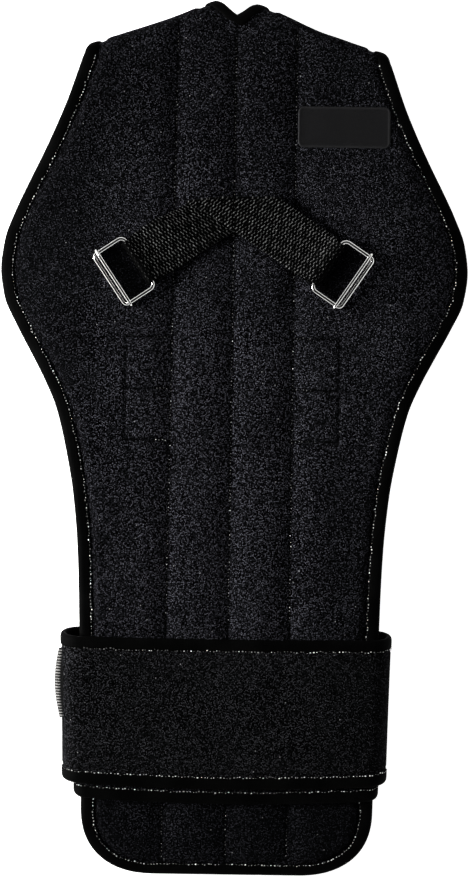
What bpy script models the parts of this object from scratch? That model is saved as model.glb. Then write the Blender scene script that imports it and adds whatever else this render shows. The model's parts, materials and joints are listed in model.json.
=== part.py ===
"""Posture corrector brace, lying flat on its rear face with its outer face up.

X runs across the brace, Y runs from the tail to the neck and Z is up from the
surface that it lies on. The origin is at the middle of its footprint, on that
surface. All sizes are in metres and all angles in degrees.
"""
import math
from collections import namedtuple

import bpy
import bmesh
import numpy as np
from mathutils import Vector

# Body of the brace: a padded panel whose shoulder straps fold over to the rear
BODY_LENGTH = 0.4365
WING_HALF_WIDTH = 0.1165
PAD_THICKNESS = 0.0052
SEAM_THICKNESS = 0.0028
EDGE_THICKNESS = 0.0024
STRAP_THICKNESS = 0.0040
CHANNEL_WIDTH = 0.0300
SEAM_GROOVE_HALF = 0.0018
TAIL_CORNER_ACROSS = 0.0350
TAIL_CORNER_UP = 0.0320
SHOULDER_HALF_WIDTH = 0.0760
FOLD_SLOPE = 18.4
NECK_SLOPE = 29.0
NOTCH_DEPTH = 0.0055
FOLD_CLEARANCE = 0.0006

# Shoulder straps on the rear
STRAP_REACH = 0.2500
STRAP_WIDTH = 0.0380
STRAP_CENTRE_OUT = 0.0360
STRAP_TIP_LENGTH = 0.0150

# Folded tape bound over the edges
TAPE_THICKNESS = 0.0009
TAPE_LEG = 0.0050
FIT_GAP = 0.0003
BELT_TAPE_THICKNESS = 0.0007

# Waist belt, two turns round the panel
BELT_WIDTH = 0.0728
BELT_THICKNESS = 0.0026
BELT_EDGE_THICKNESS = 0.0012
OUTER_TURN_BOTTOM = 0.0470
OUTER_TURN_SAG = 0.0024
INNER_TURN_DROP = 0.0078
TURN_REAR_RISE = 0.0035
INNER_TURN_SLACK = 0.0005
OUTER_TURN_SLACK = 0.0008

# Ribbed elastic that bows out at one side of the belt
ELASTIC_LENGTH = 0.0340
ELASTIC_BOW = 0.0032
ELASTIC_THICKNESS = 0.0010
ELASTIC_DROP = 0.0040

# Webbing sewn across the shoulder blades, folded in the middle
WEBBING_WIDTH = 0.0263
WEBBING_THICKNESS = 0.0014
WEBBING_SLOPE = 34.0
WEBBING_CREASE_DROP = 0.0985
WEBBING_ARM_LENGTH = 0.0567
WEBBING_TAIL = 0.0140

# Wire rings in the webbing's end loops, each with a sliding bar
RING_ACROSS = 0.02945
RING_ALONG = 0.0176
RING_WIRE = 0.0021
RING_INNER_CORNER = 0.0030
RING_OUTER_CORNER = 0.0020
SLIDER_WIRE = 0.0019
EYELET_WIRE = 0.0013
SLIDER_FROM_END = 0.0025

# Bare woven patch at the right shoulder blade
PATCH_WIDTH = 0.0460
PATCH_HEIGHT = 0.0205
PATCH_THICKNESS = 0.0009
PATCH_CORNER = 0.0022
PATCH_OUT = 0.0543
PATCH_DROP = 0.0618

# Levels worked out from the sizes above
TAPE_HALF = EDGE_THICKNESS / 2 + FIT_GAP + TAPE_THICKNESS
TAPE_INSET = FIT_GAP + TAPE_THICKNESS
BELT_TAPE_HALF = BELT_EDGE_THICKNESS / 2 + FIT_GAP + BELT_TAPE_THICKNESS
BELT_LAYER = 2 * max(BELT_TAPE_HALF, BELT_THICKNESS / 2)
STRAP_LEVEL = max(TAPE_HALF, STRAP_THICKNESS / 2)
FOLD_RADIUS = max(TAPE_HALF, (STRAP_THICKNESS + PAD_THICKNESS) / 4) + FOLD_CLEARANCE / 2
PANEL_LEVEL = STRAP_LEVEL + 2 * FOLD_RADIUS
PAD_HALF = max(PAD_THICKNESS / 2, TAPE_HALF)
BELTED_LEVEL = 2 * BELT_LAYER + 2 * FIT_GAP + PAD_HALF
INNER_REAR_LEVEL = 1.5 * BELT_LAYER + FIT_GAP
INNER_FRONT_LEVEL = BELTED_LEVEL + PAD_HALF + FIT_GAP + BELT_LAYER / 2
OUTER_REAR_LEVEL = BELT_LAYER / 2
OUTER_FRONT_LEVEL = INNER_FRONT_LEVEL + BELT_LAYER + FIT_GAP
WEBBING_SEAT = PANEL_LEVEL + PAD_THICKNESS / 2 + FIT_GAP
LAYER_STEP = WEBBING_THICKNESS + FIT_GAP
LOOP_RADIUS = RING_WIRE / 2 + FIT_GAP + WEBBING_THICKNESS / 2
BAR_LEVEL = WEBBING_SEAT + WEBBING_THICKNESS / 2 + LOOP_RADIUS
CREASE_HEIGHT = BODY_LENGTH - WEBBING_CREASE_DROP
EYELET_RADIUS = RING_WIRE / 2 + FIT_GAP + EYELET_WIRE / 2
OUTER_TURN_TOP = OUTER_TURN_BOTTOM + BELT_WIDTH
TAPE_ZONE = TAPE_LEG + 4 * FIT_GAP

# Side outline: height as a share of BODY_LENGTH, half width of WING_HALF_WIDTH
Outline = namedtuple("Outline", "height half_width")
SIDE_OUTLINE = (
    Outline(0.000, 0.618),
    Outline(0.085, 0.621),
    Outline(0.293, 0.639),
    Outline(0.372, 0.651),
    Outline(0.435, 0.673),
    Outline(0.485, 0.706),
    Outline(0.534, 0.751),
    Outline(0.566, 0.802),
    Outline(0.598, 0.865),
    Outline(0.630, 0.930),
    Outline(0.662, 0.984),
    Outline(0.694, 1.000),
    Outline(0.726, 0.985),
    Outline(0.758, 0.941),
    Outline(0.790, 0.885),
    Outline(0.822, 0.826),
    Outline(0.855, 0.770),
    Outline(0.887, 0.721),
    Outline(0.919, 0.680),
    Outline(0.945, 0.648),
    Outline(1.000, 0.600),
)

# Shoulder strap on the rear: way along as a share of STRAP_REACH, place of its
# middle as a share of STRAP_CENTRE_OUT and its width as one of STRAP_WIDTH
StrapRow = namedtuple("StrapRow", "along centre width")
STRAP_ROWS = (
    StrapRow(0.060, 1.040, 1.180),
    StrapRow(0.120, 1.010, 1.060),
    StrapRow(0.220, 0.990, 1.010),
    StrapRow(0.360, 0.960, 1.000),
    StrapRow(0.520, 0.930, 0.980),
    StrapRow(0.700, 0.900, 0.960),
    StrapRow(0.860, 0.880, 0.950),
)

# Colours are linear RGB
FABRIC_BLACK = (0.0075, 0.0075, 0.0085)
TAPE_BLACK = (0.0030, 0.0030, 0.0034)
WEBBING_BLACK = (0.0060, 0.0060, 0.0066)
ELASTIC_GREY = (0.0600, 0.0600, 0.0620)
BRIGHT_STEEL = (0.7800, 0.7800, 0.7700)

FRONT_ROWS = 23
FOLD_STEPS = 6
FOLD_EASE = 1.4
TURN_CORNER_STEPS = 6
TURN_FLAT_STEPS = 8


def clear_scene():
    """Remove every object that the file opened with."""
    for thing in list(bpy.data.objects):
        bpy.data.objects.remove(thing, do_unlink=True)


def make_collection(name):
    collection = bpy.data.collections.new(name)
    bpy.context.scene.collection.children.link(collection)
    return collection


def make_material(name, colour, roughness, metallic=0.0):
    material = bpy.data.materials.new(name)
    material.use_nodes = True
    shader = material.node_tree.nodes["Principled BSDF"]
    shader.inputs["Base Color"].default_value = (*colour, 1.0)
    shader.inputs["Roughness"].default_value = roughness
    shader.inputs["Metallic"].default_value = metallic
    material.diffuse_color = (*colour, 1.0)
    return material


def add_object(name, mesh, collection, material):
    piece = bpy.data.objects.new(name, mesh)
    collection.objects.link(piece)
    piece.data.materials.append(material)
    return piece


def shade_round(piece, angle=35.0):
    """Shade a piece smooth, with edges sharper than the angle kept crisp."""
    piece.data.shade_smooth()
    piece.data.set_sharp_from_angle(angle=math.radians(angle))


def unit(vectors):
    """Scale each vector of an array to length one."""
    return vectors / np.linalg.norm(vectors, axis=-1, keepdims=True)


def smooth_step(value, start, end):
    """Rise from 0 to 1 with level ends as the value goes from start to end."""
    share = np.clip((value - start) / (end - start), 0.0, 1.0)
    return share * share * (3.0 - 2.0 * share)


def smooth_table(value, knots, levels):
    """Follow a table with a monotone cubic, so that it never overshoots a row."""
    knots = np.asarray(knots, float)
    levels = np.asarray(levels, float)
    widths = np.diff(knots)
    slopes = np.diff(levels) / widths
    product = slopes[:-1] * slopes[1:]
    mean = 0.5 * (slopes[:-1] + slopes[1:])
    safe = np.where(mean == 0.0, 1.0, mean)
    inner = np.where(product > 0.0, product / safe, 0.0)
    tangents = np.concatenate(([slopes[0]], inner, [slopes[-1]]))
    spot = np.clip(np.searchsorted(knots, value) - 1, 0, len(widths) - 1)
    width = widths[spot]
    share = np.clip((value - knots[spot]) / width, 0.0, 1.0)
    rise = share * share * (3.0 - 2.0 * share)
    lead = share * (1.0 - share) ** 2 * tangents[spot] * width
    trail = share * share * (share - 1.0) * tangents[spot + 1] * width
    return levels[spot] * (1.0 - rise) + levels[spot + 1] * rise + lead + trail


def side_half_width(height):
    """Half width of the bound body at a height, before the tail is rounded."""
    knots = [row.height * BODY_LENGTH for row in SIDE_OUTLINE]
    halves = [row.half_width * WING_HALF_WIDTH for row in SIDE_OUTLINE]
    return float(smooth_table(height, knots, halves))


def panel_level(out, height):
    """Middle of the panel: over the belt, over the straps, down at wings and tail."""
    belt_top = OUTER_TURN_TOP + TURN_REAR_RISE
    belt_bottom = OUTER_TURN_BOTTOM - INNER_TURN_DROP
    level = PANEL_LEVEL + (BELTED_LEVEL - PANEL_LEVEL) * (
        1.0 - smooth_step(height, belt_top, 1.25 * belt_top))
    tail = np.sin(math.pi / 2 * np.clip(height / belt_bottom, 0.0, 1.0))
    level = TAPE_HALF + (level - TAPE_HALF) * tail
    wing = smooth_step(out, 0.68 * WING_HALF_WIDTH, 1.05 * WING_HALF_WIDTH)
    return level - (level - TAPE_HALF) * wing


def grid_faces(rows, columns, closed_rows=False):
    """Quads of a grid of points, row by row, which may close round its rows."""
    row_steps = rows if closed_rows else rows - 1
    faces = []
    for row in range(row_steps):
        following = (row + 1) % rows
        for column in range(columns - 1):
            near = row * columns + column
            far = following * columns + column
            faces.append((near, near + 1, far + 1, far))
    return faces


def mesh_from(name, points, faces):
    mesh = bpy.data.meshes.new(name)
    mesh.from_pydata([tuple(p) for p in np.reshape(points, (-1, 3))], [], faces)
    mesh.validate()
    return mesh


def across_front(inner, outer):
    """Places of the columns on a row that starts at the spine."""
    start = inner[0]
    end = outer[0]
    groove = SEAM_GROOVE_HALF
    last_seam = CHANNEL_WIDTH + groove
    thin = end - TAPE_ZONE
    full = end - 1.5 * TAPE_ZONE
    places = np.array([
        start, groove, 0.3 * CHANNEL_WIDTH, CHANNEL_WIDTH - groove, CHANNEL_WIDTH,
        last_seam, 0.5 * (last_seam + full), full, thin, end])
    squeeze = (end - start) / (end + 1e-9)
    reach = np.minimum(places, end)
    if thin < last_seam:
        reach = end * np.linspace(0.0, 1.0, len(places))
    reach = start + reach * squeeze if start > 0 else reach
    return (reach - start) / (end - start)


def across_strap(inner, outer):
    """Places of the columns on a row that is bound at both its ends."""
    width = np.linalg.norm(outer - inner)
    thin = min(TAPE_ZONE, 0.3 * width) / width
    full = 1.5 * thin
    middle = np.linspace(full, 1.0 - full, 6)
    return np.concatenate(([0.0, thin], middle, [1.0 - thin, 1.0]))


def fold_frame():
    """Ends of the fold line on one side, and the ways along it and out over it."""
    slope = math.radians(FOLD_SLOPE)
    outward = np.array([math.sin(slope), math.cos(slope)])
    along = np.array([math.cos(slope), -math.sin(slope)])
    notch = BODY_LENGTH - NOTCH_DEPTH - TAPE_INSET
    roll = FOLD_RADIUS + TAPE_HALF
    neck = math.radians(NECK_SLOPE)
    quarter = math.pi / 2 * FOLD_RADIUS
    climb = math.tan(neck + slope)
    drift = 1.0 / climb
    rise = BODY_LENGTH - notch - roll * outward[1] - drift * quarter * along[1]
    inner = np.array([max(rise, 0.001) / math.tan(neck), notch + max(rise, 0.001)])
    out = SHOULDER_HALF_WIDTH - TAPE_INSET
    outer = inner + along * (out - inner[0]) / along[0]
    return inner, outer, along, outward, drift, notch


def panel_half_grid():
    """Middle surface of one half, in rows from the tail to the strap's tip.

    Each row runs from the spine, or the strap's inner edge, to the outer edge.
    The front rows are level lines, the rows near the neck lean towards the fold
    line, the next rows turn round the fold and the last ones run down the strap.
    Returns the rows and the number of the row whose inner end is the neck notch.
    """
    inner_fold, outer_fold, along, outward, drift, notch = fold_frame()
    rows = []

    for angle in np.radians([0.0, 18.0, 36.0, 54.0, 72.0]):
        height = TAPE_INSET + TAIL_CORNER_UP * (1.0 - math.cos(angle))
        side = side_half_width(height) - TAPE_INSET
        half = side - TAIL_CORNER_ACROSS * (1.0 - math.sin(angle))
        rows.append((height, height, 0.0, half))
    lean_start = BODY_LENGTH - 1.7 * (BODY_LENGTH - outer_fold[1])
    for height in np.linspace(TAPE_INSET + TAIL_CORNER_UP, lean_start, FRONT_ROWS):
        rows.append((height, height, 0.0, side_half_width(height) - TAPE_INSET))
    for spare, share in ((2.6 * TAPE_ZONE, 0.45), (1.5 * TAPE_ZONE, 0.7),
                         (TAPE_ZONE, 0.8), (0.0, 0.93)):
        outer_height = lean_start + (outer_fold[1] - lean_start) * share
        half = side_half_width(outer_height) - TAPE_INSET
        rows.append((notch - spare, outer_height, 0.0, half))
    notch_row = len(rows) - 1
    rows.append((inner_fold[1], outer_fold[1], inner_fold[0], outer_fold[0]))

    points = []
    for inner_height, outer_height, start, end in rows:
        inner = np.array([start, inner_height])
        outer = np.array([end, outer_height])
        if start > 0.0:
            shares = across_strap(inner, outer)
        else:
            shares = across_front(inner, outer)
        flat = inner + shares[:, None] * (outer - inner)
        levels = [panel_level(out, height) for out, height in flat]
        points.append(np.column_stack((flat, levels)))

    fold_level = points[-1][0][2]
    radius = (fold_level - STRAP_LEVEL) / 2
    side_drift = 0.74
    for angle in np.radians(np.linspace(0.0, 180.0, FOLD_STEPS + 1)[1:]):
        turned = radius * angle
        inner = inner_fold + along * drift * turned + outward * radius * math.sin(angle)
        outer = outer_fold - along * side_drift * turned + outward * radius * math.sin(angle)
        shares = across_strap(inner, outer)
        flat = inner + shares[:, None] * (outer - inner)
        level = STRAP_LEVEL + radius * (1.0 + math.cos(angle))
        points.append(np.column_stack((flat, np.full(len(shares), level))))

    root = (points[-1][0][:2] + points[-1][-1][:2]) / 2
    tip_rows = []
    last = STRAP_ROWS[-1]
    for angle in np.radians([0.0, 30.0, 55.0, 75.0, 90.0]):
        length = STRAP_REACH - STRAP_TIP_LENGTH * (1.0 - math.sin(angle))
        width = last.width * (0.30 + 0.70 * math.cos(angle))
        tip_rows.append(StrapRow(length / STRAP_REACH, last.centre, width))
    for row in STRAP_ROWS + tuple(tip_rows):
        lean = math.radians(FOLD_SLOPE) * (1.0 - smooth_step(row.along, 0.0, 0.3))
        width = row.width * STRAP_WIDTH
        centre = np.array([row.centre * STRAP_CENTRE_OUT, root[1] - row.along * STRAP_REACH])
        reach = np.array([math.cos(lean), -math.sin(lean)]) * width / 2
        inner = centre - reach
        outer = centre + reach
        shares = across_strap(inner, outer)
        flat = inner + shares[:, None] * (outer - inner)
        points.append(np.column_stack((flat, np.full(len(shares), STRAP_LEVEL))))
    return np.array(points), notch_row


def border_spots(shape, notch_row):
    """Grid places round the border: tail, side, strap tip, strap and neck."""
    rows, columns = shape
    spots = [(0, column) for column in range(columns - 1)]
    spots += [(row, columns - 1) for row in range(rows - 1)]
    spots += [(rows - 1, column) for column in range(columns - 1, 0, -1)]
    spots += [(row, 0) for row in range(rows - 1, notch_row - 1, -1)]
    return spots


def distance_to_path(points, path):
    """Shortest way from each point to the straight runs between a path's points."""
    nearest = np.full(points.shape[:-1], np.inf)
    for start, end in zip(path[:-1], path[1:]):
        run = end - start
        share = np.clip((points - start) @ run / max(run @ run, 1e-12), 0.0, 1.0)
        spot = start + share[..., None] * run
        nearest = np.minimum(nearest, np.linalg.norm(points - spot, axis=-1))
    return nearest


def panel_thickness(points, notch_row):
    """Padding: full in the channels, pinched at the seams and flat under the tape."""
    thickness = np.full(points.shape[:2], PAD_THICKNESS)
    thickness[notch_row + 2:] = STRAP_THICKNESS
    for column in (0, 4):
        thickness[:notch_row + 1, column] = SEAM_THICKNESS
    spots = border_spots(points.shape[:2], notch_row)
    fold = notch_row + 1
    front_side = np.array([points[spot] for spot in spots if spot[0] <= fold and spot[1] > 0])
    neck = points[notch_row:fold + 1, 0]
    strap = np.array([points[spot] for spot in spots if spot[0] >= fold])
    to_border = np.empty(points.shape[:2])
    to_border[:fold] = np.minimum(distance_to_path(points[:fold], front_side),
                                  0.7 * distance_to_path(points[:fold], neck))
    to_border[fold:] = distance_to_path(points[fold:], strap)
    cover = smooth_step(to_border, 1.1 * TAPE_ZONE, 1.5 * TAPE_ZONE)
    return EDGE_THICKNESS + np.maximum(thickness - EDGE_THICKNESS, 0.0) * cover


def mirror_across(piece):
    mirror = piece.modifiers.new("Other half", "MIRROR")
    mirror.use_axis = (True, False, False)
    mirror.merge_threshold = 0.00002


def give_thickness(piece, full, thickness=None):
    """Solidify a sheet evenly about its middle, thinner where a table says so."""
    solidify = piece.modifiers.new("Thickness", "SOLIDIFY")
    solidify.thickness = full
    solidify.offset = 0.0
    if thickness is not None:
        group = piece.vertex_groups.new(name="thickness")
        for index, value in enumerate(np.ravel(thickness)):
            group.add([index], float(value / full), "REPLACE")
        solidify.vertex_group = group.name


def make_panel(collection, material):
    points, notch_row = panel_half_grid()
    rows, columns = points.shape[:2]
    mesh = mesh_from("back_panel", points, grid_faces(rows, columns))
    panel = add_object("back_panel", mesh, collection, material)
    mirror_across(panel)
    full = max(PAD_THICKNESS, STRAP_THICKNESS)
    give_thickness(panel, full, panel_thickness(points, notch_row))
    shade_round(panel)
    return panel


def tape_profile(edge_thickness, tape_thickness):
    """Section of a folded tape: ways out from the edge, and off the sheet."""
    inside = edge_thickness / 2 + FIT_GAP
    outside = inside + tape_thickness
    nose = FIT_GAP + tape_thickness
    return np.array([
        (-TAPE_LEG, inside), (FIT_GAP, inside), (FIT_GAP, -inside), (-TAPE_LEG, -inside),
        (-TAPE_LEG, -outside), (nose, -inside), (nose, inside), (-TAPE_LEG, outside)])


def sweep_faces(stations, corners, closed):
    """Quads of a tube whose sections all have the same number of corners."""
    steps = stations if closed else stations - 1
    faces = []
    for station in range(steps):
        following = (station + 1) % stations
        for corner in range(corners):
            turn = (corner + 1) % corners
            faces.append((station * corners + corner, following * corners + corner,
                          following * corners + turn, station * corners + turn))
    return faces


def grid_normals(points):
    """Normal of the surface at each point of a grid, from its neighbours."""
    down = np.gradient(points, axis=0)
    across = np.gradient(points, axis=1)
    return unit(np.cross(across, down))


def tape_sections(path, out, up, profile, stretch=1.0):
    """Sections of a tape along a path, from the ways out of the sheet and off it.

    The stretch lengthens what lies outside the edge, where out isn't square to it.
    """
    reach = profile[None, :, :1] * np.where(
        profile[None, :, :1] > 0.0, np.reshape(stretch, (-1, 1, 1)), 1.0)
    return path[:, None] + out[:, None] * reach + up[:, None] * profile[None, :, 1:]


def make_edge_tape(collection, material):
    """Tape round the whole border: tail, sides, straps and neck, as one loop.

    It lies square to the border, and along the fold line where the border
    turns over the fold. On the front its legs follow the panel's level.
    """
    points, notch_row = panel_half_grid()
    normals = grid_normals(points)
    spots = border_spots(points.shape[:2], notch_row)
    path = np.array([points[spot] for spot in spots])
    up = np.array([normals[spot] for spot in spots])
    tangents = np.gradient(path, axis=0)
    tangents[0] = (1.0, 0.0, 0.0)
    tangents[-1] = (-1.0, 0.0, 0.0)
    tangents = unit(tangents)
    up = unit(up - tangents * np.sum(up * tangents, axis=1, keepdims=True))
    square = unit(np.cross(tangents, up))
    along_fold, over_fold = fold_frame()[2:4]
    out = square.copy()
    stretch = np.ones(len(spots))
    for station, (row, column) in enumerate(spots):
        if notch_row < row <= notch_row + 1 + FOLD_STEPS:
            side = -1.0 if column == 0 else 1.0
            way = side * np.array([along_fold[0], along_fold[1], 0.0])
            turned = min(max(row - notch_row - 1, 0.25), FOLD_STEPS - 0.25)
            turned *= math.pi / FOLD_STEPS
            lean = math.sin(turned)
            up[station] = (over_fold[0] * lean, over_fold[1] * lean, math.cos(turned))
            out[station] = way
            stretch[station] = FOLD_EASE / max(way @ square[station], 0.6) ** 2
    profile = tape_profile(EDGE_THICKNESS, TAPE_THICKNESS)
    sections = tape_sections(path, out, up, profile, stretch)
    for station, (row, column) in enumerate(spots):
        if row <= notch_row:
            leg = path[station] - out[station] * TAPE_LEG
            lift = panel_level(abs(leg[0]), leg[1]) - leg[2]
            sections[station, profile[:, 0] < 0.0, 2] += lift
    faces = sweep_faces(len(path), len(profile), closed=False)
    tape = add_object("edge_tape", mesh_from("edge_tape", sections, faces), collection, material)
    mirror_across(tape)
    shade_round(tape)
    return tape


def turn_section(front_level, rear_level, half_width):
    """One turn of belt seen along Y: flat front and rear, half round sides."""
    radius = (front_level - rear_level) / 2
    middle = (front_level + rear_level) / 2
    flat = half_width - radius
    across = np.linspace(-flat, flat, TURN_FLAT_STEPS + 1)[1:-1]
    angles = np.linspace(math.pi / 2, -math.pi / 2, TURN_CORNER_STEPS + 1)
    front = np.column_stack((across, np.full(len(across), front_level)))
    right = np.column_stack((flat + radius * np.cos(angles), middle + radius * np.sin(angles)))
    rear = np.column_stack((across[::-1], np.full(len(across), rear_level)))
    left = np.column_stack((-flat - radius * np.cos(angles), middle - radius * np.sin(angles)))
    return np.concatenate((front, right, rear, left))


def turn_grid(front_level, rear_level, bottom, slack):
    """Middle surface of one turn of belt: points round it, and across its width."""
    zone = TAPE_LEG + 2 * FIT_GAP
    top = bottom + BELT_WIDTH - BELT_TAPE_THICKNESS - FIT_GAP
    low = bottom + BELT_TAPE_THICKNESS + FIT_GAP
    heights = np.array([low, low + zone, low + 1.5 * zone, (low + top) / 2,
                        top - 1.5 * zone, top - zone, top])
    columns = []
    for height in heights:
        half = side_half_width(height) + slack
        section = turn_section(front_level, rear_level, half)
        front_share = (section[:, 1] - rear_level) / (front_level - rear_level)
        sag = OUTER_TURN_SAG * (1.0 - (section[:, 0] / half) ** 2) * front_share
        lowered = 1.0 - 0.65 * (height - low) / (top - low)
        up = height + TURN_REAR_RISE * (1.0 - front_share) - sag * lowered
        columns.append(np.column_stack((section[:, 0], up, section[:, 1])))
    grid = np.stack(columns, axis=1)
    thickness = np.full(grid.shape[:2], BELT_THICKNESS)
    thickness[:, [0, 1, -2, -1]] = BELT_EDGE_THICKNESS
    return grid, thickness


def make_turn(name, grid, thickness, collection, material):
    faces = grid_faces(grid.shape[0], grid.shape[1], closed_rows=True)
    turn = add_object(name, mesh_from(name, grid, faces), collection, material)
    give_thickness(turn, BELT_THICKNESS, thickness)
    shade_round(turn)
    return turn


def make_turn_tape(name, grid, column, collection, material):
    """Tape bound over the top or the bottom edge of one turn of belt."""
    path = grid[:, column]
    inward = grid[:, 1] if column == 0 else grid[:, -2]
    out = unit(path - inward)
    following = np.roll(path, -1, axis=0)
    before = np.roll(path, 1, axis=0)
    up = unit(np.cross(out, following - before))
    profile = tape_profile(BELT_EDGE_THICKNESS, BELT_TAPE_THICKNESS)
    sections = tape_sections(path, out, up, profile)
    faces = sweep_faces(len(path), len(profile), closed=True)
    tape = add_object(name, mesh_from(name, sections, faces), collection, material)
    shade_round(tape)
    return tape


def make_belt(collection, fabric, tape):
    turns = (
        ("belt_inner_turn", INNER_FRONT_LEVEL, INNER_REAR_LEVEL,
         OUTER_TURN_BOTTOM - INNER_TURN_DROP, INNER_TURN_SLACK),
        ("belt_outer_turn", OUTER_FRONT_LEVEL, OUTER_REAR_LEVEL,
         OUTER_TURN_BOTTOM, INNER_TURN_SLACK + BELT_LAYER + OUTER_TURN_SLACK),
    )
    for name, front_level, rear_level, bottom, slack in turns:
        reach = slack + BELT_LAYER / 2
        grid, thickness = turn_grid(front_level, rear_level, bottom, reach)
        make_turn(name, grid, thickness, collection, fabric)
        make_turn_tape(name + "_lower_tape", grid, 0, collection, tape)
        make_turn_tape(name + "_upper_tape", grid, -1, collection, tape)


def make_elastic(collection, material):
    """Ribbed elastic sewn over the belt's left side, bowed out in the middle."""
    columns = 9
    top = OUTER_TURN_TOP - ELASTIC_DROP
    heights = np.linspace(top - ELASTIC_LENGTH, top, columns)
    angles = np.radians(np.linspace(125.0, 235.0, 9))
    radius = (OUTER_FRONT_LEVEL - OUTER_REAR_LEVEL) / 2
    middle = (OUTER_FRONT_LEVEL + OUTER_REAR_LEVEL) / 2
    seat = radius + BELT_THICKNESS / 2 + FIT_GAP + ELASTIC_THICKNESS / 2
    reach = INNER_TURN_SLACK + OUTER_TURN_SLACK + 1.5 * BELT_LAYER
    rows = []
    for angle in angles:
        swell = math.cos((angle - math.pi) * 90.0 / 55.0) ** 2
        row = []
        for step, height in enumerate(heights):
            bow = ELASTIC_BOW * math.sin(math.pi * step / (columns - 1)) * swell
            half = side_half_width(height) + reach - radius
            row.append((-half + (seat + bow) * math.cos(angle), height,
                        middle + (seat + bow) * math.sin(angle)))
        rows.append(row)
    grid = np.array(rows)
    faces = grid_faces(grid.shape[0], grid.shape[1])
    elastic = add_object("side_elastic", mesh_from("side_elastic", grid, faces),
                         collection, material)
    give_thickness(elastic, ELASTIC_THICKNESS)
    shade_round(elastic)
    return elastic


def arm_frame(side):
    """Ring bar's middle, the way out along a webbing arm and the way up across it."""
    slope = math.radians(WEBBING_SLOPE)
    along = np.array([side * math.cos(slope), -math.sin(slope)])
    across = np.array([side * math.sin(slope), math.cos(slope)])
    centre = np.array([0.0, CREASE_HEIGHT]) + along * WEBBING_ARM_LENGTH
    return centre, along, across


def arm_stations(side):
    """Stations of one webbing arm, from its hidden tail to the crease.

    Each holds the lower and the upper edge's point. The tail lies on the panel,
    the webbing turns round the ring's bar and runs back on top of the tail, and
    the left arm then comes down to pass under the right one.
    """
    centre, along, across = arm_frame(side)
    full = across * WEBBING_WIDTH / 2
    in_ring = min(WEBBING_WIDTH, RING_ACROSS - 2 * RING_INNER_CORNER + 2 * FIT_GAP)
    seat = WEBBING_SEAT + WEBBING_THICKNESS / 2
    stations = []
    for back in (WEBBING_TAIL, WEBBING_TAIL / 2):
        spot = centre - along * back
        reach = full
        stations.append((*(spot - reach), seat, *(spot + reach), seat))
    for angle in np.radians([-90.0, -60.0, -30.0, 0.0, 30.0, 60.0, 90.0]):
        spot = centre + along * LOOP_RADIUS * math.cos(angle)
        reach = across * in_ring / 2
        level = BAR_LEVEL + LOOP_RADIUS * math.sin(angle)
        stations.append((*(spot - reach), level, *(spot + reach), level))
    half_crease = WEBBING_WIDTH / 2 / math.sin(math.radians(WEBBING_SLOPE))
    lower_end = np.array([-side * half_crease, CREASE_HEIGHT])
    upper_end = np.array([side * half_crease, CREASE_HEIGHT])
    on_tail = seat + LAYER_STEP
    crease_level = on_tail if side > 0 else seat
    top_level = BAR_LEVEL + LOOP_RADIUS
    for share in (0.05, 0.12, 0.2, 0.4, 0.5, 0.6, 0.8, 1.0):
        reach = full + across * (in_ring - WEBBING_WIDTH) / 2 * (
            1.0 - smooth_step(share, 0.0, 0.2))
        lower = (centre - reach) * (1.0 - share) + lower_end * share
        upper = (centre + reach) * (1.0 - share) + upper_end * share
        level = top_level + (on_tail - top_level) * float(smooth_step(share, 0.0, 0.2))
        level += (crease_level - on_tail) * float(smooth_step(share, 0.4, 0.6))
        stations.append((*lower, level, *upper, level))
    return stations


def make_webbing(collection, material):
    """One length of webbing from tail to tail, creased at the middle."""
    left = arm_stations(-1.0)
    right = arm_stations(1.0)
    seat = WEBBING_SEAT + WEBBING_THICKNESS / 2
    half_crease = WEBBING_WIDTH / 2 / math.sin(math.radians(WEBBING_SLOPE))
    rows = [((s[0], s[1], s[2]), (s[3], s[4], s[5])) for s in left]
    rows = [(upper, lower) for lower, upper in rows]
    for angle in np.radians([-45.0, 0.0, 45.0]):
        height = CREASE_HEIGHT + LAYER_STEP / 2 * math.cos(angle)
        level = seat + LAYER_STEP / 2 * (1.0 + math.sin(angle))
        rows.append(((-half_crease, height, level), (half_crease, height, level)))
    rows += [((s[0], s[1], s[2]), (s[3], s[4], s[5])) for s in reversed(right)]
    grid = np.array(rows)
    faces = grid_faces(grid.shape[0], 2)
    webbing = add_object("cross_webbing", mesh_from("cross_webbing", grid, faces),
                         collection, material)
    give_thickness(webbing, WEBBING_THICKNESS)
    shade_round(webbing)
    return webbing


def ring_outline():
    """Middle line of the ring's wire, with the hinged bar on the local Y axis."""
    half = RING_ACROSS / 2
    corners = (
        (RING_ALONG, half, RING_OUTER_CORNER, 0.0),
        (0.0, half, RING_INNER_CORNER, 90.0),
        (0.0, -half, RING_INNER_CORNER, 180.0),
        (RING_ALONG, -half, RING_OUTER_CORNER, 270.0),
    )
    points = []
    for along, across, radius, start in corners:
        middle_x = along - math.copysign(radius, along - RING_ALONG / 2)
        middle_y = across - math.copysign(radius, across)
        for angle in np.radians(np.linspace(start, start + 90.0, 5)):
            points.append((middle_x + radius * math.cos(angle),
                           middle_y + radius * math.sin(angle), 0.0))
    return points


def make_ring(name, side, collection, material):
    """Wire ring, a closed curve with a round bevel, hung on the webbing's loop."""
    curve = bpy.data.curves.new(name, "CURVE")
    curve.dimensions = "3D"
    curve.bevel_depth = RING_WIRE / 2
    curve.bevel_resolution = 2
    spline = curve.splines.new("POLY")
    points = ring_outline()
    spline.points.add(len(points) - 1)
    for point, place in zip(spline.points, points):
        point.co = (*place, 1.0)
    spline.use_cyclic_u = True
    curve.materials.append(material)
    ring = bpy.data.objects.new(name, curve)
    collection.objects.link(ring)
    centre, along, across = arm_frame(side)
    ring.location = (centre[0], centre[1], BAR_LEVEL)
    ring.rotation_euler = (0.0, 0.0, math.atan2(along[1], along[0]))
    return ring


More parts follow.
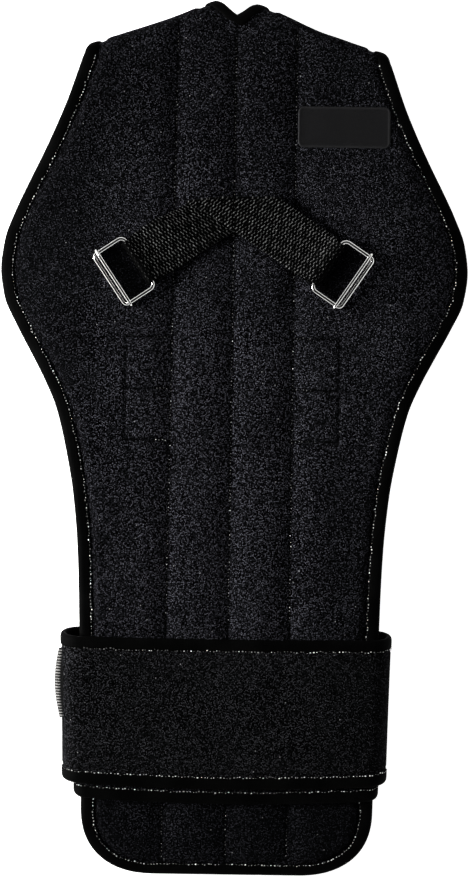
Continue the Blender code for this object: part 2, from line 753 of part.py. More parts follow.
def add_cylinder_along_y(form, radius, length, height):
    """Add a capped cylinder to a bmesh, lying along Y at a height."""
    made = bmesh.ops.create_cone(form, cap_ends=True, segments=10, radius1=radius,
                                 radius2=radius, depth=length)
    for vertex in made["verts"]:
        across, up, along = vertex.co
        vertex.co = (across, along, height - up)


def make_slider(name, ring, collection, material, cutters):
    """Sliding bar over the ring, with an eyelet round each of the ring's arms."""
    form = bmesh.new()
    overlap = EYELET_WIRE * 0.3
    add_cylinder_along_y(form, SLIDER_WIRE / 2, RING_ACROSS + overlap, EYELET_RADIUS)
    mesh = bpy.data.meshes.new(name)
    form.to_mesh(mesh)
    form.free()
    slider = add_object(name, mesh, collection, material)
    place = RING_ALONG - SLIDER_FROM_END
    for end in (-1, 1):
        bpy.ops.mesh.primitive_torus_add(
            major_segments=12, minor_segments=6, major_radius=EYELET_RADIUS,
            minor_radius=EYELET_WIRE / 2, location=(0.0, end * RING_ACROSS / 2, 0.0),
            rotation=(0.0, math.pi / 2, 0.0))
        eyelet = bpy.context.object
        eyelet.name = name + ("_eyelet_upper" if end > 0 else "_eyelet_lower")
        for owner in list(eyelet.users_collection):
            owner.objects.unlink(eyelet)
        cutters.objects.link(eyelet)
        eyelet.hide_render = True
        eyelet.display_type = "WIRE"
        eyelet.parent = slider
        union = slider.modifiers.new("Join eyelet", "BOOLEAN")
        union.operation = "UNION"
        union.solver = "EXACT"
        union.object = eyelet
    slider.parent = ring
    slider.location = (place, 0.0, 0.0)
    shade_round(slider)
    return slider


def make_patch(collection, material):
    """Bare woven patch, a flat outline with round corners and a small thickness."""
    outline = bpy.data.curves.new("label_patch", "CURVE")
    outline.dimensions = "2D"
    outline.fill_mode = "BOTH"
    outline.extrude = PATCH_THICKNESS / 2
    spline = outline.splines.new("POLY")
    points = []
    for start, x_side, y_side in ((0.0, 1, 1), (90.0, -1, 1), (180.0, -1, -1), (270.0, 1, -1)):
        middle_x = x_side * (PATCH_WIDTH / 2 - PATCH_CORNER)
        middle_y = y_side * (PATCH_HEIGHT / 2 - PATCH_CORNER)
        for angle in np.radians(np.linspace(start, start + 90.0, 4)):
            points.append((middle_x + PATCH_CORNER * math.cos(angle),
                           middle_y + PATCH_CORNER * math.sin(angle)))
    spline.points.add(len(points) - 1)
    for point, place in zip(spline.points, points):
        point.co = (*place, 0.0, 1.0)
    spline.use_cyclic_u = True
    outline.materials.append(material)
    patch = bpy.data.objects.new("label_patch", outline)
    collection.objects.link(patch)
    level = PANEL_LEVEL + PAD_THICKNESS / 2 + FIT_GAP + PATCH_THICKNESS / 2
    patch.location = Vector((PATCH_OUT, BODY_LENGTH - PATCH_DROP, level))
    return patch


def centre_footprint(collection):
    """Move the whole brace so that its footprint's middle is at the origin."""
    graph = bpy.context.evaluated_depsgraph_get()
    graph.update()
    lows = []
    highs = []
    for piece in collection.objects:
        solved = piece.evaluated_get(graph)
        mesh = solved.to_mesh()
        places = np.array([solved.matrix_world @ vertex.co for vertex in mesh.vertices])
        lows.append(places.min(axis=0))
        highs.append(places.max(axis=0))
        solved.to_mesh_clear()
    low = np.min(lows, axis=0)
    high = np.max(highs, axis=0)
    shift = Vector((-(low[0] + high[0]) / 2, -(low[1] + high[1]) / 2, -low[2]))
    for piece in collection.objects:
        if piece.parent is None:
            piece.location += shift


def main():
    clear_scene()
    brace = make_collection("posture_corrector_brace")
    cutters = make_collection("cutters")
    fabric = make_material("loop_fabric", FABRIC_BLACK, 0.95)
    tape = make_material("binding_tape", TAPE_BLACK, 0.75)
    woven = make_material("webbing", WEBBING_BLACK, 0.70)
    ribbed = make_material("ribbed_elastic", ELASTIC_GREY, 0.80)
    steel = make_material("bright_steel", BRIGHT_STEEL, 0.18, 1.0)
    make_panel(brace, fabric)
    make_edge_tape(brace, tape)
    make_belt(brace, fabric, tape)
    make_elastic(brace, ribbed)
    make_webbing(brace, woven)
    for side_name, side in (("left", -1.0), ("right", 1.0)):
        ring = make_ring("ring_" + side_name, side, brace, steel)
        make_slider("slider_" + side_name, ring, brace, steel, cutters)
    make_patch(brace, woven)
    centre_footprint(brace)


main()
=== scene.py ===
"""Looks of a posture corrector brace that lies flat on its rear face.

X runs across the brace, Y from the tail to the neck and Z up from the surface
that it lies on, in metres. Each piece is a surface worked out as whole arrays
from the sizes below, and stands in for the plain solid of the same place.
"""
import json
import math
from types import SimpleNamespace

import bpy
import numpy as np
from bpy.props import FloatProperty, FloatVectorProperty, IntProperty, PointerProperty
from bpy.types import Operator, Panel, PropertyGroup
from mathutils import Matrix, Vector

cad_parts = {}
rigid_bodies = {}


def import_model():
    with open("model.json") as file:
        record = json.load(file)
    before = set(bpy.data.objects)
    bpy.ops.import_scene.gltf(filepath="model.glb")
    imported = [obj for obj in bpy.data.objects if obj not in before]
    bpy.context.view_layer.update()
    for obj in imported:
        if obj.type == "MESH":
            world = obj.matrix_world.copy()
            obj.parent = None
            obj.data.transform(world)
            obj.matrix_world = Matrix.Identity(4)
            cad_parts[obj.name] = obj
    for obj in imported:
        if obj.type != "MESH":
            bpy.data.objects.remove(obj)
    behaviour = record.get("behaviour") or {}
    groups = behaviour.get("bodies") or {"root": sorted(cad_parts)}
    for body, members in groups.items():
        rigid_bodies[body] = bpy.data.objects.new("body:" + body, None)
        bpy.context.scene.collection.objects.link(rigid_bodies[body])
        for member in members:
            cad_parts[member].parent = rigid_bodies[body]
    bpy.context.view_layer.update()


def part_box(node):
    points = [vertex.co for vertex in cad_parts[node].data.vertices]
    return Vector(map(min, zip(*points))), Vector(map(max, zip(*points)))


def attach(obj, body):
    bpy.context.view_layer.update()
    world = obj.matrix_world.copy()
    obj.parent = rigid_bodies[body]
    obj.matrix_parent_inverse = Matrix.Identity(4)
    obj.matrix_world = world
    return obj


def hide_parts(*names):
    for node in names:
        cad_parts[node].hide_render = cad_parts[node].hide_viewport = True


bl_info = {
    "name": "Posture Corrector Brace",
    "version": (1, 0, 0),
    "blender": (4, 5, 0),
    "location": "3D View > Sidebar > Brace",
    "description": "Dresses a quilted back brace with its binding, belt, webbing and rings",
    "category": "Object",
}

for leftover in list(bpy.data.objects):
    bpy.data.objects.remove(leftover, do_unlink=True)
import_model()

# Side outline: height as a share of the body's length, half width of the wing's
SIDE_HEIGHTS = (0.000, 0.085, 0.293, 0.372, 0.435, 0.485, 0.534, 0.566, 0.598, 0.630, 0.662,
                0.694, 0.726, 0.758, 0.790, 0.822, 0.855, 0.887, 0.919, 0.945, 1.000)
SIDE_WIDTHS = (0.618, 0.621, 0.639, 0.651, 0.673, 0.706, 0.751, 0.802, 0.865, 0.930, 0.984,
               1.000, 0.985, 0.941, 0.885, 0.826, 0.770, 0.721, 0.680, 0.648, 0.600)

# Strap on the rear: way down it, place of its middle and its width, as shares
STRAP_ALONG = (0.060, 0.120, 0.220, 0.360, 0.520, 0.700, 0.860)
STRAP_CENTRES = (1.040, 1.010, 0.990, 0.960, 0.930, 0.900, 0.880)
STRAP_WIDTHS = (1.180, 1.060, 1.010, 1.000, 0.980, 0.960, 0.950)

# Panel's grid: its step between seams, its step at a seam and the reach of the fine steps
GRID_COARSE, GRID_FINE, GRID_REACH = 0.0016, 0.00045, 0.0016

# Panel's level: where it is its own again above the belt, as a share of the belt's top,
# and where the wings start to droop and are down, as shares of their half width
LEVEL_AGAIN = 1.25
DROOP_START, DROOP_END = 0.68, 1.05

# Leaning rows: where they start, as a share of the fold's drop, how far their inner ends
# lie below the notch, in widths of the bound zone, and how far their outer ends have come
LEAN_REACH = 1.7
NECK_SPARES = (0.0, 2.6, 1.5, 1.0, 0.0)
LEAN_SHARES = (0.0, 0.45, 0.70, 0.80, 0.93)

# Strap: step of its rows, share of its width at the tip, and how fast the outer ends of
# the fold's rows drift inwards
STRAP_STEP = 0.003
TIP_SHARE = 0.30
OUTER_DRIFT = 0.74

# Pocket's outer seam at a narrow place, as a share of the way from channel seam to
# border, and the border's usual place
POCKET_SHARE = 0.55
USUAL_HALF_WIDTH = 0.078

# Padding: fullness of a stuffed channel's section, puckers beside the seams and broad dents
SWELL_POWER = 2.3
PUCKER_HEIGHT, PUCKER_LENGTH, PUCKER_REACH = 0.00016, 0.008, 0.005
DENT_HEIGHT, DENT_LENGTH = 0.00022, 0.030

# Cloth is flat from its edge to the start and has its own thickness from the end on, in
# widths of the bound zone. The way to the neck's edge counts as shorter by a share.
COVER_START, BELT_COVER_START, COVER_END = 0.95, 0.90, 1.35
NECK_SHARE = 0.7

# Painted shade: the share of the pile's brightness that it takes off, and its start and end
# as shares of the wing's half width at the left and right and of the body's length at the neck
SHADE_LEFT = (0.68, 0.32, 0.85)
SHADE_RIGHT = (0.40, 0.26, 0.45)
SHADE_NECK = (0.35, 0.66, 0.95)

# Painted shade: brightness of the right half where it is least shaded, then the share left at
# the tail and the heights where it rises, and the heights where the right side's lower outer shade ends
SHADE_RIGHT_FULL = 0.88
SHADE_TAIL = (0.35, 0.07, 0.28)
SHADE_BLADE = (0.42, 0.60)

# Share of brightness taken off by painted shade in the channel seams and the pocket's seams, by
# painted shadow in the ring slots and below the webbing's lower edges, and half the width of a
# channel seam's painted dark line
SHADE_SEAM, SHADE_POCKET, SLOT_SHADOW, WEBBING_SHADOW = 0.95, 0.90, 0.80, 0.60
SEAM_SHADE_HALF_WIDTH = 0.0007

# Painted shadow in the ring slots: how far its middle lies past the bar and where it fades along
# and across, as shares of the ring. Painted shadow below the webbing's lower edges: the dark
# line's place below the edge and its width, where it starts and is full beyond the crease, and
# its fade beyond the bar
SLOT_SHADOW_PLACE = 0.45
SLOT_SHADOW_ALONG = (0.30, 0.60)
SLOT_SHADOW_ACROSS = (0.42, 0.55)
WEBBING_SHADOW_BELOW, WEBBING_SHADOW_WIDTH = 0.0004, 0.0012
WEBBING_SHADOW_START, WEBBING_SHADOW_FULL, WEBBING_SHADOW_END = 0.004, 0.012, 0.004

# As it lies: rise, place and width of the neck's left peak, then depth and width of the dip
NECK_PEAK = (0.0016, -0.0125, 0.012)
NECK_DIP = (0.0010, 0.005)

# Belt: how much less its top edge sags, the crown's share at its edges, height and length
# of its ripples, and the share of brightness that painted shade takes off towards the right, between two
# places
SAG_EASE = 0.65
CROWN_SHARE = 0.6
RIPPLE_HEIGHT, RIPPLE_LENGTH = 0.00025, 0.045
BELT_SHADE = (0.4, 0.03, 0.08)

# Elastic, in degrees round the side: its front and rear ends, where its front end is
# tucked in, and where its ribs start to show and show in full
ELASTIC_FRONT, ELASTIC_REAR = 148.0, 235.0
TUCK_DEPTH, TUCK_START, TUCK_END = 0.0024, 162.0, 150.0
RIBS_START, RIBS_FULL = 153.0, 159.0

# Webbing's ribs: sharpness, shift between columns as a share of a rib, how much they
# break off there, unevenness and its length, then the width of the thin edge
RIB_POWER, RIB_SHIFT, RIB_BREAK = 2.2, 0.15, 0.50
RIB_UNEVEN, RIB_UNEVEN_LENGTH = 0.25, 0.004
THIN_EDGE = 0.0009

# Seam across the webbing's middle: half width, and the rows over which it comes in
SEWN_HALF_WIDTH = 0.0004
SEWN_START, SEWN_FULL = 190, 230

# Bead that stands for a stitch: sides and rings of its grid, and all its points
BEAD_SIDES = 6
BEAD_RINGS = 3
BEAD_POINTS = BEAD_SIDES * BEAD_RINGS + 2

# Overcast stitches: scatter across the hem, half of their height, and how worn they are
# on the border, on a belt's lower tape and on its upper tape
STITCH_SCATTER = 0.00021
STITCH_HALF_HEIGHT = 0.00026
BORDER_WEAR, LOWER_WEAR, UPPER_WEAR = 1.7, 1.3, 6.0

# Quilting stitches: pitch in the seams and in the webbing, half sizes, scatter, wear, and
# how much darker their colour is above two heights, as shares of the body's length
QUILTING_PITCH = 0.0017
WEBBING_STITCH_PITCH = 0.0024
QUILTING_HALVES = (0.0004, 0.0003, 0.00025)
QUILTING_SCATTER = 0.00016
QUILTING_WEAR = 4.5
QUILTING_DIMMING = (0.80, 0.60, 0.70)


def length(name, default, description):
    """Length setting, in metres."""
    return FloatProperty(name=name, description=description, default=default, precision=4,
                         subtype="DISTANCE", unit="LENGTH")


def angle(name, degrees, description):
    """Angle setting, given in degrees and kept in radians."""
    return FloatProperty(name=name, description=description, default=math.radians(degrees),
                         subtype="ANGLE", unit="ROTATION")


def power(name, default, description):
    """Power setting of a light, in watts."""
    return FloatProperty(name=name, description=description, default=default,
                         subtype="POWER", unit="POWER")


def colour(name, default, description):
    """Colour setting, in linear light."""
    return FloatVectorProperty(name=name, description=description, default=default,
                               subtype="COLOR", size=3, min=0.0, max=1.0)


class BracePanelSizes(PropertyGroup):
    """Sizes of the quilted body and its shoulder straps."""
    body_length: length("Body length", 0.4365, "From the tail to the neck, over the binding")
    wing_half_width: length("Wing half width", 0.1165, "Half of the widest place")
    pad_thickness: length("Pad thickness", 0.0052, "In the middle of a channel")
    pillow_thickness: length("Pillow thickness", 0.0060, "Between the seams, stuffed")
    seam_thickness: length("Seam thickness", 0.0015, "At the channel seams")
    edge_thickness: length("Edge thickness", 0.0024, "Under the binding")
    strap_thickness: length("Strap thickness", 0.0040, "Shoulder straps")
    left_seam_neck: length("Left seam at the neck", 0.0290, "From the middle")
    left_seam_tail: length("Left seam at the tail", 0.0320, "From the middle")
    right_seam_neck: length("Right seam at the neck", 0.0304, "From the middle")
    right_seam_tail: length("Right seam at the tail", 0.0306, "From the middle")
    pocket_out: length("Pocket's outer seam", 0.0530, "From the middle")
    pocket_top: length("Pocket top", 0.2690, "Above the tail")
    pocket_middle: length("Pocket cross seam", 0.2432, "Above the tail")
    pocket_bottom: length("Pocket bottom", 0.2176, "Above the tail")
    groove_depth: length("Pocket seam depth", 0.0018, "Taken off the pad's thickness")
    groove_width: length("Pocket seam width", 0.0007, "Half width of the stitched groove")
    tail_corner_across: length("Tail corner, across", 0.0350, "Round corner at the tail")
    tail_corner_up: length("Tail corner, up", 0.0320, "Round corner at the tail")
    tail_corner_power: FloatProperty(name="Tail corner fullness", default=0.87, min=0.5, max=1.0,
                                     description="One for an ellipse, less for a fuller corner")
    right_reach: length("Right side's reach", 0.0011, "How far the right side stands out")
    shoulder_drop: length("Right shoulder's drop", 0.0031, "Below the left one")
    shoulder_half_width: length("Shoulder half width", 0.0760, "Outer end of the fold")
    fold_slope: angle("Fold slope", 18.4, "Of the shoulder fold, down from level")
    neck_slope: angle("Neck slope", 29.0, "Of the neck's V, up from level")
    notch_depth: length("Neck notch", 0.0055, "Below the neck's peaks")
    fold_clearance: length("Fold clearance", 0.0006, "Between strap and body")
    strap_reach: length("Strap reach", 0.2500, "From the fold to the strap's tip")
    strap_width: length("Strap width", 0.0380, "Across one strap")
    strap_centre_out: length("Strap place", 0.0360, "Middle of a strap from the spine")
    strap_tip: length("Strap tip", 0.0150, "Length of the round tip")


class BraceTapeSizes(PropertyGroup):
    """Sizes of the folded binding and its stitching."""
    thickness: length("Binding thickness", 0.0009, "Tape on the body's border")
    belt_thickness: length("Belt binding thickness", 0.0007, "Tape on the belt's edges")
    leg: length("Binding leg", 0.0050, "From the border to the tape's inner edge")
    gap: length("Fit gap", 0.0003, "Between a piece and what it lies on")
    stitch_pitch: length("Stitch pitch", 0.0016, "From one stitch to the next")
    stitch_length: length("Stitch length", 0.00095, "Showing length of one stitch")
    stitch_width: length("Stitch width", 0.00070, "Showing width of one stitch")


class BraceBeltSizes(PropertyGroup):
    """Sizes of the waist belt's two turns and the elastic at its side."""
    width: length("Belt width", 0.0728, "Over its bindings")
    thickness: length("Belt thickness", 0.0026, "Foam-backed cloth")
    edge_thickness: length("Belt edge thickness", 0.0012, "Under its bindings")
    outer_bottom: length("Outer turn's bottom", 0.0470, "Above the tail")
    outer_sag: length("Outer turn's sag", 0.0024, "In the middle of its front")
    inner_drop: length("Inner turn's drop", 0.0078, "Below the outer turn")
    rear_rise: length("Rear rise", 0.0035, "Rear of a turn above its front")
    inner_slack: length("Inner slack", 0.0005, "Beside the body")
    outer_slack: length("Outer slack", 0.0008, "Beside the inner turn")
    crown: length("Front crown", 0.0012, "How far the front swells in the middle")
    left_shift: length("Left shift", 0.0019, "How far the outer turn stands out at the left")
    elastic_length: length("Elastic length", 0.0340, "Along the belt's width")
    elastic_bow: length("Elastic bow", 0.0022, "How far the elastic stands out")
    elastic_thickness: length("Elastic thickness", 0.0010, "Of the ribbed elastic")
    elastic_drop: length("Elastic drop", 0.0070, "Below the belt's top")
    elastic_rib: length("Elastic rib pitch", 0.0014, "From rib to rib")


class BraceWebbingSizes(PropertyGroup):
    """Sizes of the webbing across the shoulder blades."""
    width: length("Webbing width", 0.0263, "Across one arm")
    thickness: length("Webbing thickness", 0.0014, "Over its ribs")
    slope: angle("Webbing slope", 34.0, "Of each arm, down from level")
    crease_drop: length("Crease drop", 0.0985, "Below the neck's peaks")
    crease_sink: length("Crease sink", 0.0026, "How far the crease's left end lies lower")
    arm: length("Arm length", 0.0567, "From the crease's middle to the ring's bar")
    tail: length("Hidden tail", 0.0140, "Sewn back under the arm")
    rib: length("Rib pitch", 0.00177, "From rib to rib along an arm")
    rib_column: length("Rib column", 0.0030, "Across which the ribs shift and come back")
    rib_height: length("Rib height", 0.00024, "Of a rib above its groove")


class BraceWireSizes(PropertyGroup):
    """Sizes of the wire rings and their sliding bars."""
    across: length("Ring width", 0.02945, "Between the arms' middles")
    along: length("Ring length", 0.0176, "Between the bars' middles")
    wire: length("Ring wire", 0.0021, "Diameter of the ring's wire")
    inner_corner: length("Inner corner", 0.0030, "Bend beside the hidden bar")
    outer_corner: length("Outer corner", 0.0020, "Bend beside the outer bar")
    slider_wire: length("Slider wire", 0.0019, "Diameter of the sliding bar")
    curl_wire: length("Curl wire", 0.0013, "Diameter of the curled ends")
    slider_place: length("Slider place", 0.0025, "From the ring's outer bar")


class BracePatchSizes(PropertyGroup):
    """Sizes of the bare woven patch."""
    width: length("Patch width", 0.0460, "Across the patch")
    height: length("Patch height", 0.0205, "Up the patch")
    thickness: length("Patch thickness", 0.0009, "Woven cloth")
    corner: length("Patch corner", 0.0030, "Radius of its corners")
    out: length("Patch place", 0.0543, "Its middle, from the spine")
    drop: length("Patch drop", 0.0618, "Its middle, below the neck's peaks")
    rim: length("Patch rim", 0.0011, "Width of the overcast rim")


class BraceFinish(PropertyGroup):
    """Colours of the cloths, threads and wire, in linear light."""
    pile_dark: colour("Pile, deep", (0.0004, 0.0004, 0.0005), "Between the loops")
    pile_light: colour("Pile, loops", (0.0650, 0.0650, 0.0780), "On the loops")
    belt_dark: colour("Belt pile, deep", (0.0003, 0.0003, 0.0003), "Between the loops")
    belt_light: colour("Belt pile, loops", (0.0320, 0.0320, 0.0360), "On the loops")
    lint: colour("Lint", (0.2000, 0.2000, 0.2000), "Stray fibres on the pile")
    tape: colour("Binding", (0.0007, 0.0007, 0.0007), "Folded tape")
    thread: colour("Seam thread", (0.8000, 0.8000, 0.7800), "Overcast stitches")
    webbing: colour("Webbing", (0.0004, 0.0004, 0.0004), "Grooves of the webbing")
    # Painted highlight: this pale colour goes on the crests of the black webbing's ribs
    webbing_highlight: colour("Webbing ribs", (0.1700, 0.1700, 0.1680), "Crests of the ribs")
    elastic: colour("Elastic", (0.0030, 0.0030, 0.0030), "Between the elastic's ribs")
    elastic_rib: colour("Elastic ribs", (0.2400, 0.2350, 0.2250), "Ribs of the elastic")
    patch: colour("Patch", (0.0098, 0.0098, 0.0103), "Woven patch")
    wire: colour("Wire", (0.8200, 0.8150, 0.8000), "Nickel-plated wire")
    floor: colour("Floor", (0.9200, 0.9200, 0.9200), "Surface that the brace lies on")


class BraceStage(PropertyGroup):
    """Camera and lights."""
    lens: FloatProperty(name="Lens", description="Focal length", default=110.0,
                        subtype="DISTANCE_CAMERA", unit="CAMERA")
    pixel: length("Pixel", 0.0005, "Real width that one pixel of the picture covers")
    picture_height: IntProperty(name="Picture height", description="In pixels", default=879,
                                subtype="PIXEL")
    aim_across: length("Aim, across", 0.00206, "Picture's middle from the spine")
    aim_up: length("Aim, up", 0.0001, "Picture's middle from the footprint's")
    roll: angle("Roll", 0.84, "Turn of the camera about its own axis")
    key: power("Key light", 5.5, "From the left")
    rim: power("Side light", 0.3, "From the right")
    top: power("Neck light", 0.3, "From beyond the neck")
    sky: FloatProperty(name="Room light", description="Light from the walls all round", default=1.4,
                       min=0.0)


GROUPS = {
    "brace_panel": BracePanelSizes,
    "brace_tape": BraceTapeSizes,
    "brace_belt": BraceBeltSizes,
    "brace_webbing": BraceWebbingSizes,
    "brace_wire": BraceWireSizes,
    "brace_patch": BracePatchSizes,
    "brace_finish": BraceFinish,
    "brace_stage": BraceStage,
}


def settings():
    """All property groups of the scene under short names."""
    scene = bpy.context.scene
    return SimpleNamespace(**{name[6:]: getattr(scene, name) for name in GROUPS})


def layers(size):
    """Levels over the surface, each from the thicknesses of what lies under it.

    Then places along Y: the belt's ends above the tail, the tail itself and the crease.
    """
    panel, tape, belt, webbing, wire = size.panel, size.tape, size.belt, size.webbing, size.wire
    made = SimpleNamespace()
    made.tape_half = panel.edge_thickness / 2 + tape.gap + tape.thickness
    made.inset = tape.gap + tape.thickness
    belt_tape_half = belt.edge_thickness / 2 + tape.gap + tape.belt_thickness
    made.belt_layer = 2 * max(belt_tape_half, belt.thickness / 2)
    made.strap = max(made.tape_half, panel.strap_thickness / 2)
    strap_fold = (panel.strap_thickness + panel.pad_thickness) / 4
    made.fold_radius = max(made.tape_half, strap_fold) + panel.fold_clearance / 2
    made.panel = made.strap + 2 * made.fold_radius
    pad_half = max(panel.pad_thickness / 2, made.tape_half)
    made.belted = 2 * made.belt_layer + 2 * tape.gap + pad_half
    made.inner_rear = 1.5 * made.belt_layer + tape.gap
    made.inner_front = made.belted + pad_half + tape.gap + made.belt_layer / 2
    made.outer_rear = made.belt_layer / 2
    made.outer_front = made.inner_front + made.belt_layer + tape.gap
    made.webbing = panel.pad_thickness / 2 + made.panel + tape.gap + webbing.thickness / 2
    made.loop_radius = wire.wire / 2 + tape.gap + webbing.thickness / 2
    made.bar = made.webbing + made.loop_radius
    made.patch = made.panel + panel.pad_thickness / 2 + tape.gap + size.patch.thickness / 2
    made.zone = tape.leg + 4 * tape.gap
    made.belt_top = belt.outer_bottom + belt.width + belt.rear_rise
    made.belt_bottom = belt.outer_bottom - belt.inner_drop
    low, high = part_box("label_patch")
    made.tail_y = (low.y + high.y) / 2 - (panel.body_length - size.patch.drop)
    made.crease = panel.body_length - webbing.crease_drop + made.tail_y
    return made


def unit(vectors):
    """Each vector of an array at length one."""
    return vectors / np.maximum(np.linalg.norm(vectors, axis=-1, keepdims=True), 1e-12)


def smooth_step(value, start, end):
    """3s^2 - 2s^3 of the share s of the way from start to end."""
    part = np.clip((value - start) / (end - start), 0.0, 1.0)
    return part * part * (3.0 - 2.0 * part)


def bell(distance, width):
    """exp(-(distance / width)^2), one at the middle of a groove or ridge."""
    return np.exp(-(distance / width) ** 2)


def smooth_table(value, knots, heights):
    """Monotone cubic through a table: Hermite pieces with harmonic tangents."""
    knots = np.asarray(knots, float)
    heights = np.asarray(heights, float)
    widths = np.diff(knots)
    slopes = np.diff(heights) / widths
    product = slopes[:-1] * slopes[1:]
    mean = 0.5 * (slopes[:-1] + slopes[1:])
    inner = np.where(product > 0.0, product / np.where(mean == 0.0, 1.0, mean), 0.0)
    tangents = np.concatenate(([slopes[0]], inner, [slopes[-1]]))
    spot = np.clip(np.searchsorted(knots, value) - 1, 0, len(widths) - 1)
    width = widths[spot]
    part = np.clip((value - knots[spot]) / width, 0.0, 1.0)
    rise = part * part * (3.0 - 2.0 * part)
    lead = part * (1.0 - part) ** 2 * tangents[spot] * width
    trail = part * part * (part - 1.0) * tangents[spot + 1] * width
    return heights[spot] * (1.0 - rise) + heights[spot + 1] * rise + lead + trail


def spread(stops, coarse, fine, reach):
    """Places from the first stop to the last, close together near every stop.

    The step falls from coarse to fine with a bell about each stop, and the places
    are read off the running sum of one over the step.
    """
    line = np.linspace(stops[0], stops[-1], 4000)
    nearest = np.min(np.abs(line[:, None] - np.asarray(stops)), axis=1)
    density = 1.0 / (coarse + (fine - coarse) * bell(nearest, reach))
    pieces = 0.5 * (density[1:] + density[:-1]) * np.diff(line)
    count = np.concatenate(([0.0], np.cumsum(pieces)))
    steps = int(math.ceil(count[-1]))
    return np.interp(np.linspace(0.0, count[-1], steps + 1), count, line)


def waves(first, second, size, seed):
    """Soft unevenness between about -1 and 1: the mean of seven crossing sine waves.

    Each wave has its own direction, length near the size given, and phase, drawn
    once from a seeded generator.
    """
    draw = np.random.default_rng(seed)
    total = np.zeros(np.broadcast(first, second).shape)
    for _ in range(7):
        heading = draw.uniform(0.0, math.pi)
        pitch = size * draw.uniform(0.6, 1.7)
        phase = draw.uniform(0.0, 2 * math.pi)
        way = first * math.cos(heading) + second * math.sin(heading)
        total += np.sin(2 * math.pi * way / pitch + phase)
    return total / 3.5


def arc_length(path):
    """Way along a path to each of its points."""
    steps = np.linalg.norm(np.diff(path, axis=0), axis=1)
    return np.concatenate(([0.0], np.cumsum(steps)))


def at_places(places, along, values):
    """Read each column of a table of values at given places along it."""
    return np.column_stack([np.interp(places, along, column) for column in values.T])


def quads(index, around=False, across=False):
    """Faces of a grid of point numbers, closed round its rows or its columns if asked."""
    if around:
        index = np.vstack((index, index[:1]))
    if across:
        index = np.column_stack((index, index[:, :1]))
    corners = (index[:-1, :-1], index[:-1, 1:], index[1:, 1:], index[1:, :-1])
    return np.stack(corners, axis=-1).reshape(-1, 4)


def grid_faces(grid, around=False, across=False):
    """Faces of a whole grid of points, numbered row by row."""
    index = np.arange(grid.shape[0] * grid.shape[1]).reshape(grid.shape[:2])
    return quads(index, around, across)


def point_normals(points, faces):
    """Normal at each point: the sum of its faces' diagonal cross products, at length one."""
    first = points[faces[:, 2]] - points[faces[:, 0]]
    second = points[faces[:, 3]] - points[faces[:, 1]]
    face_normals = np.cross(first, second)
    total = np.zeros_like(points)
    for corner in range(4):
        np.add.at(total, faces[:, corner], face_normals)
    return unit(total)


def thicken(points, faces, thickness):
    """Closed wall about a sheet.

    Each point moves half its thickness along its normal for the outer face and the
    same way against it for the inner face. An edge that only one face uses gets a
    quad of the rim.
    """
    half = 0.5 * np.reshape(thickness, (-1, 1)) * point_normals(points, faces)
    count = len(points)
    both = np.concatenate((points + half, points - half))
    starts = faces.ravel()
    ends = np.roll(faces, -1, axis=1).ravel()
    lone = ~np.isin(starts * count + ends, ends * count + starts)
    starts, ends = starts[lone], ends[lone]
    rim = np.column_stack((ends, starts, starts + count, ends + count))
    return both, np.concatenate((faces, faces[:, ::-1] + count, rim))


def compact(points, faces):
    """Drop points that no face uses. Also returns the numbers of the points kept."""
    used, renumbered = np.unique(faces, return_inverse=True)
    return points[used], renumbered.reshape(faces.shape), used


def outward(points, faces):
    """Turn a closed surface's faces over if the volume that they enclose is negative."""
    first = points[faces[:, 0]]
    area = np.cross(points[faces[:, 1]] - first, points[faces[:, 2]] - first)
    if faces.shape[1] == 4:
        area = area + np.cross(points[faces[:, 2]] - first, points[faces[:, 3]] - first)
    volume = np.sum(first * area)
    return faces if volume > 0.0 else faces[:, ::-1]


def add_piece(name, points, faces, material, attributes=None):
    """Make a mesh object of faces with equal corners, put in as whole arrays."""
    points = np.asarray(points, np.float32)
    faces = np.asarray(outward(points.astype(float), faces), np.int32)
    mesh = bpy.data.meshes.new(name)
    mesh.vertices.add(len(points))
    mesh.vertices.foreach_set("co", points.ravel())
    mesh.loops.add(faces.size)
    mesh.loops.foreach_set("vertex_index", faces.ravel())
    mesh.polygons.add(len(faces))
    starts = np.arange(0, faces.size, faces.shape[1], dtype=np.int32)
    mesh.polygons.foreach_set("loop_start", starts)
    mesh.update(calc_edges=True)
    for label, values in (attributes or {}).items():
        layer = mesh.attributes.new(label, "FLOAT", "POINT")
        layer.data.foreach_set("value", np.asarray(values, np.float32).ravel())
    if mesh.validate():
        raise RuntimeError(name + ": the mesh had faulty faces")
    mesh.shade_smooth()
    piece = bpy.data.objects.new(name, mesh)
    bpy.context.scene.collection.objects.link(piece)
    mesh.materials.append(material)
    return piece


def settle(piece, body, slot, *nodes):
    """Let a piece ride its body and stand for its plain solids. Its slot is not used."""
    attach(piece, body)
    if nodes:
        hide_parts(*nodes)


def sweep(path, out, up, profile, stretch=None):
    """Carry a closed profile round a closed path: point = path + out * reach + up * lift.

    The reach of what lies outside the edge is lengthened by the stretch.
    """
    reach = np.broadcast_to(profile[None, :, :1], (len(path), len(profile), 1))
    if stretch is not None:
        reach = np.where(reach > 0.0, reach * stretch[:, None, None], reach)
    points = path[:, None] + out[:, None] * reach + up[:, None] * profile[None, :, 1:]
    return points, grid_faces(points, around=True, across=True)


def side_half_width(height, size):
    """Half width of the bound body at a height, before the tail is rounded."""
    knots = np.array(SIDE_HEIGHTS) * size.panel.body_length
    return smooth_table(height, knots, np.array(SIDE_WIDTHS) * size.panel.wing_half_width)


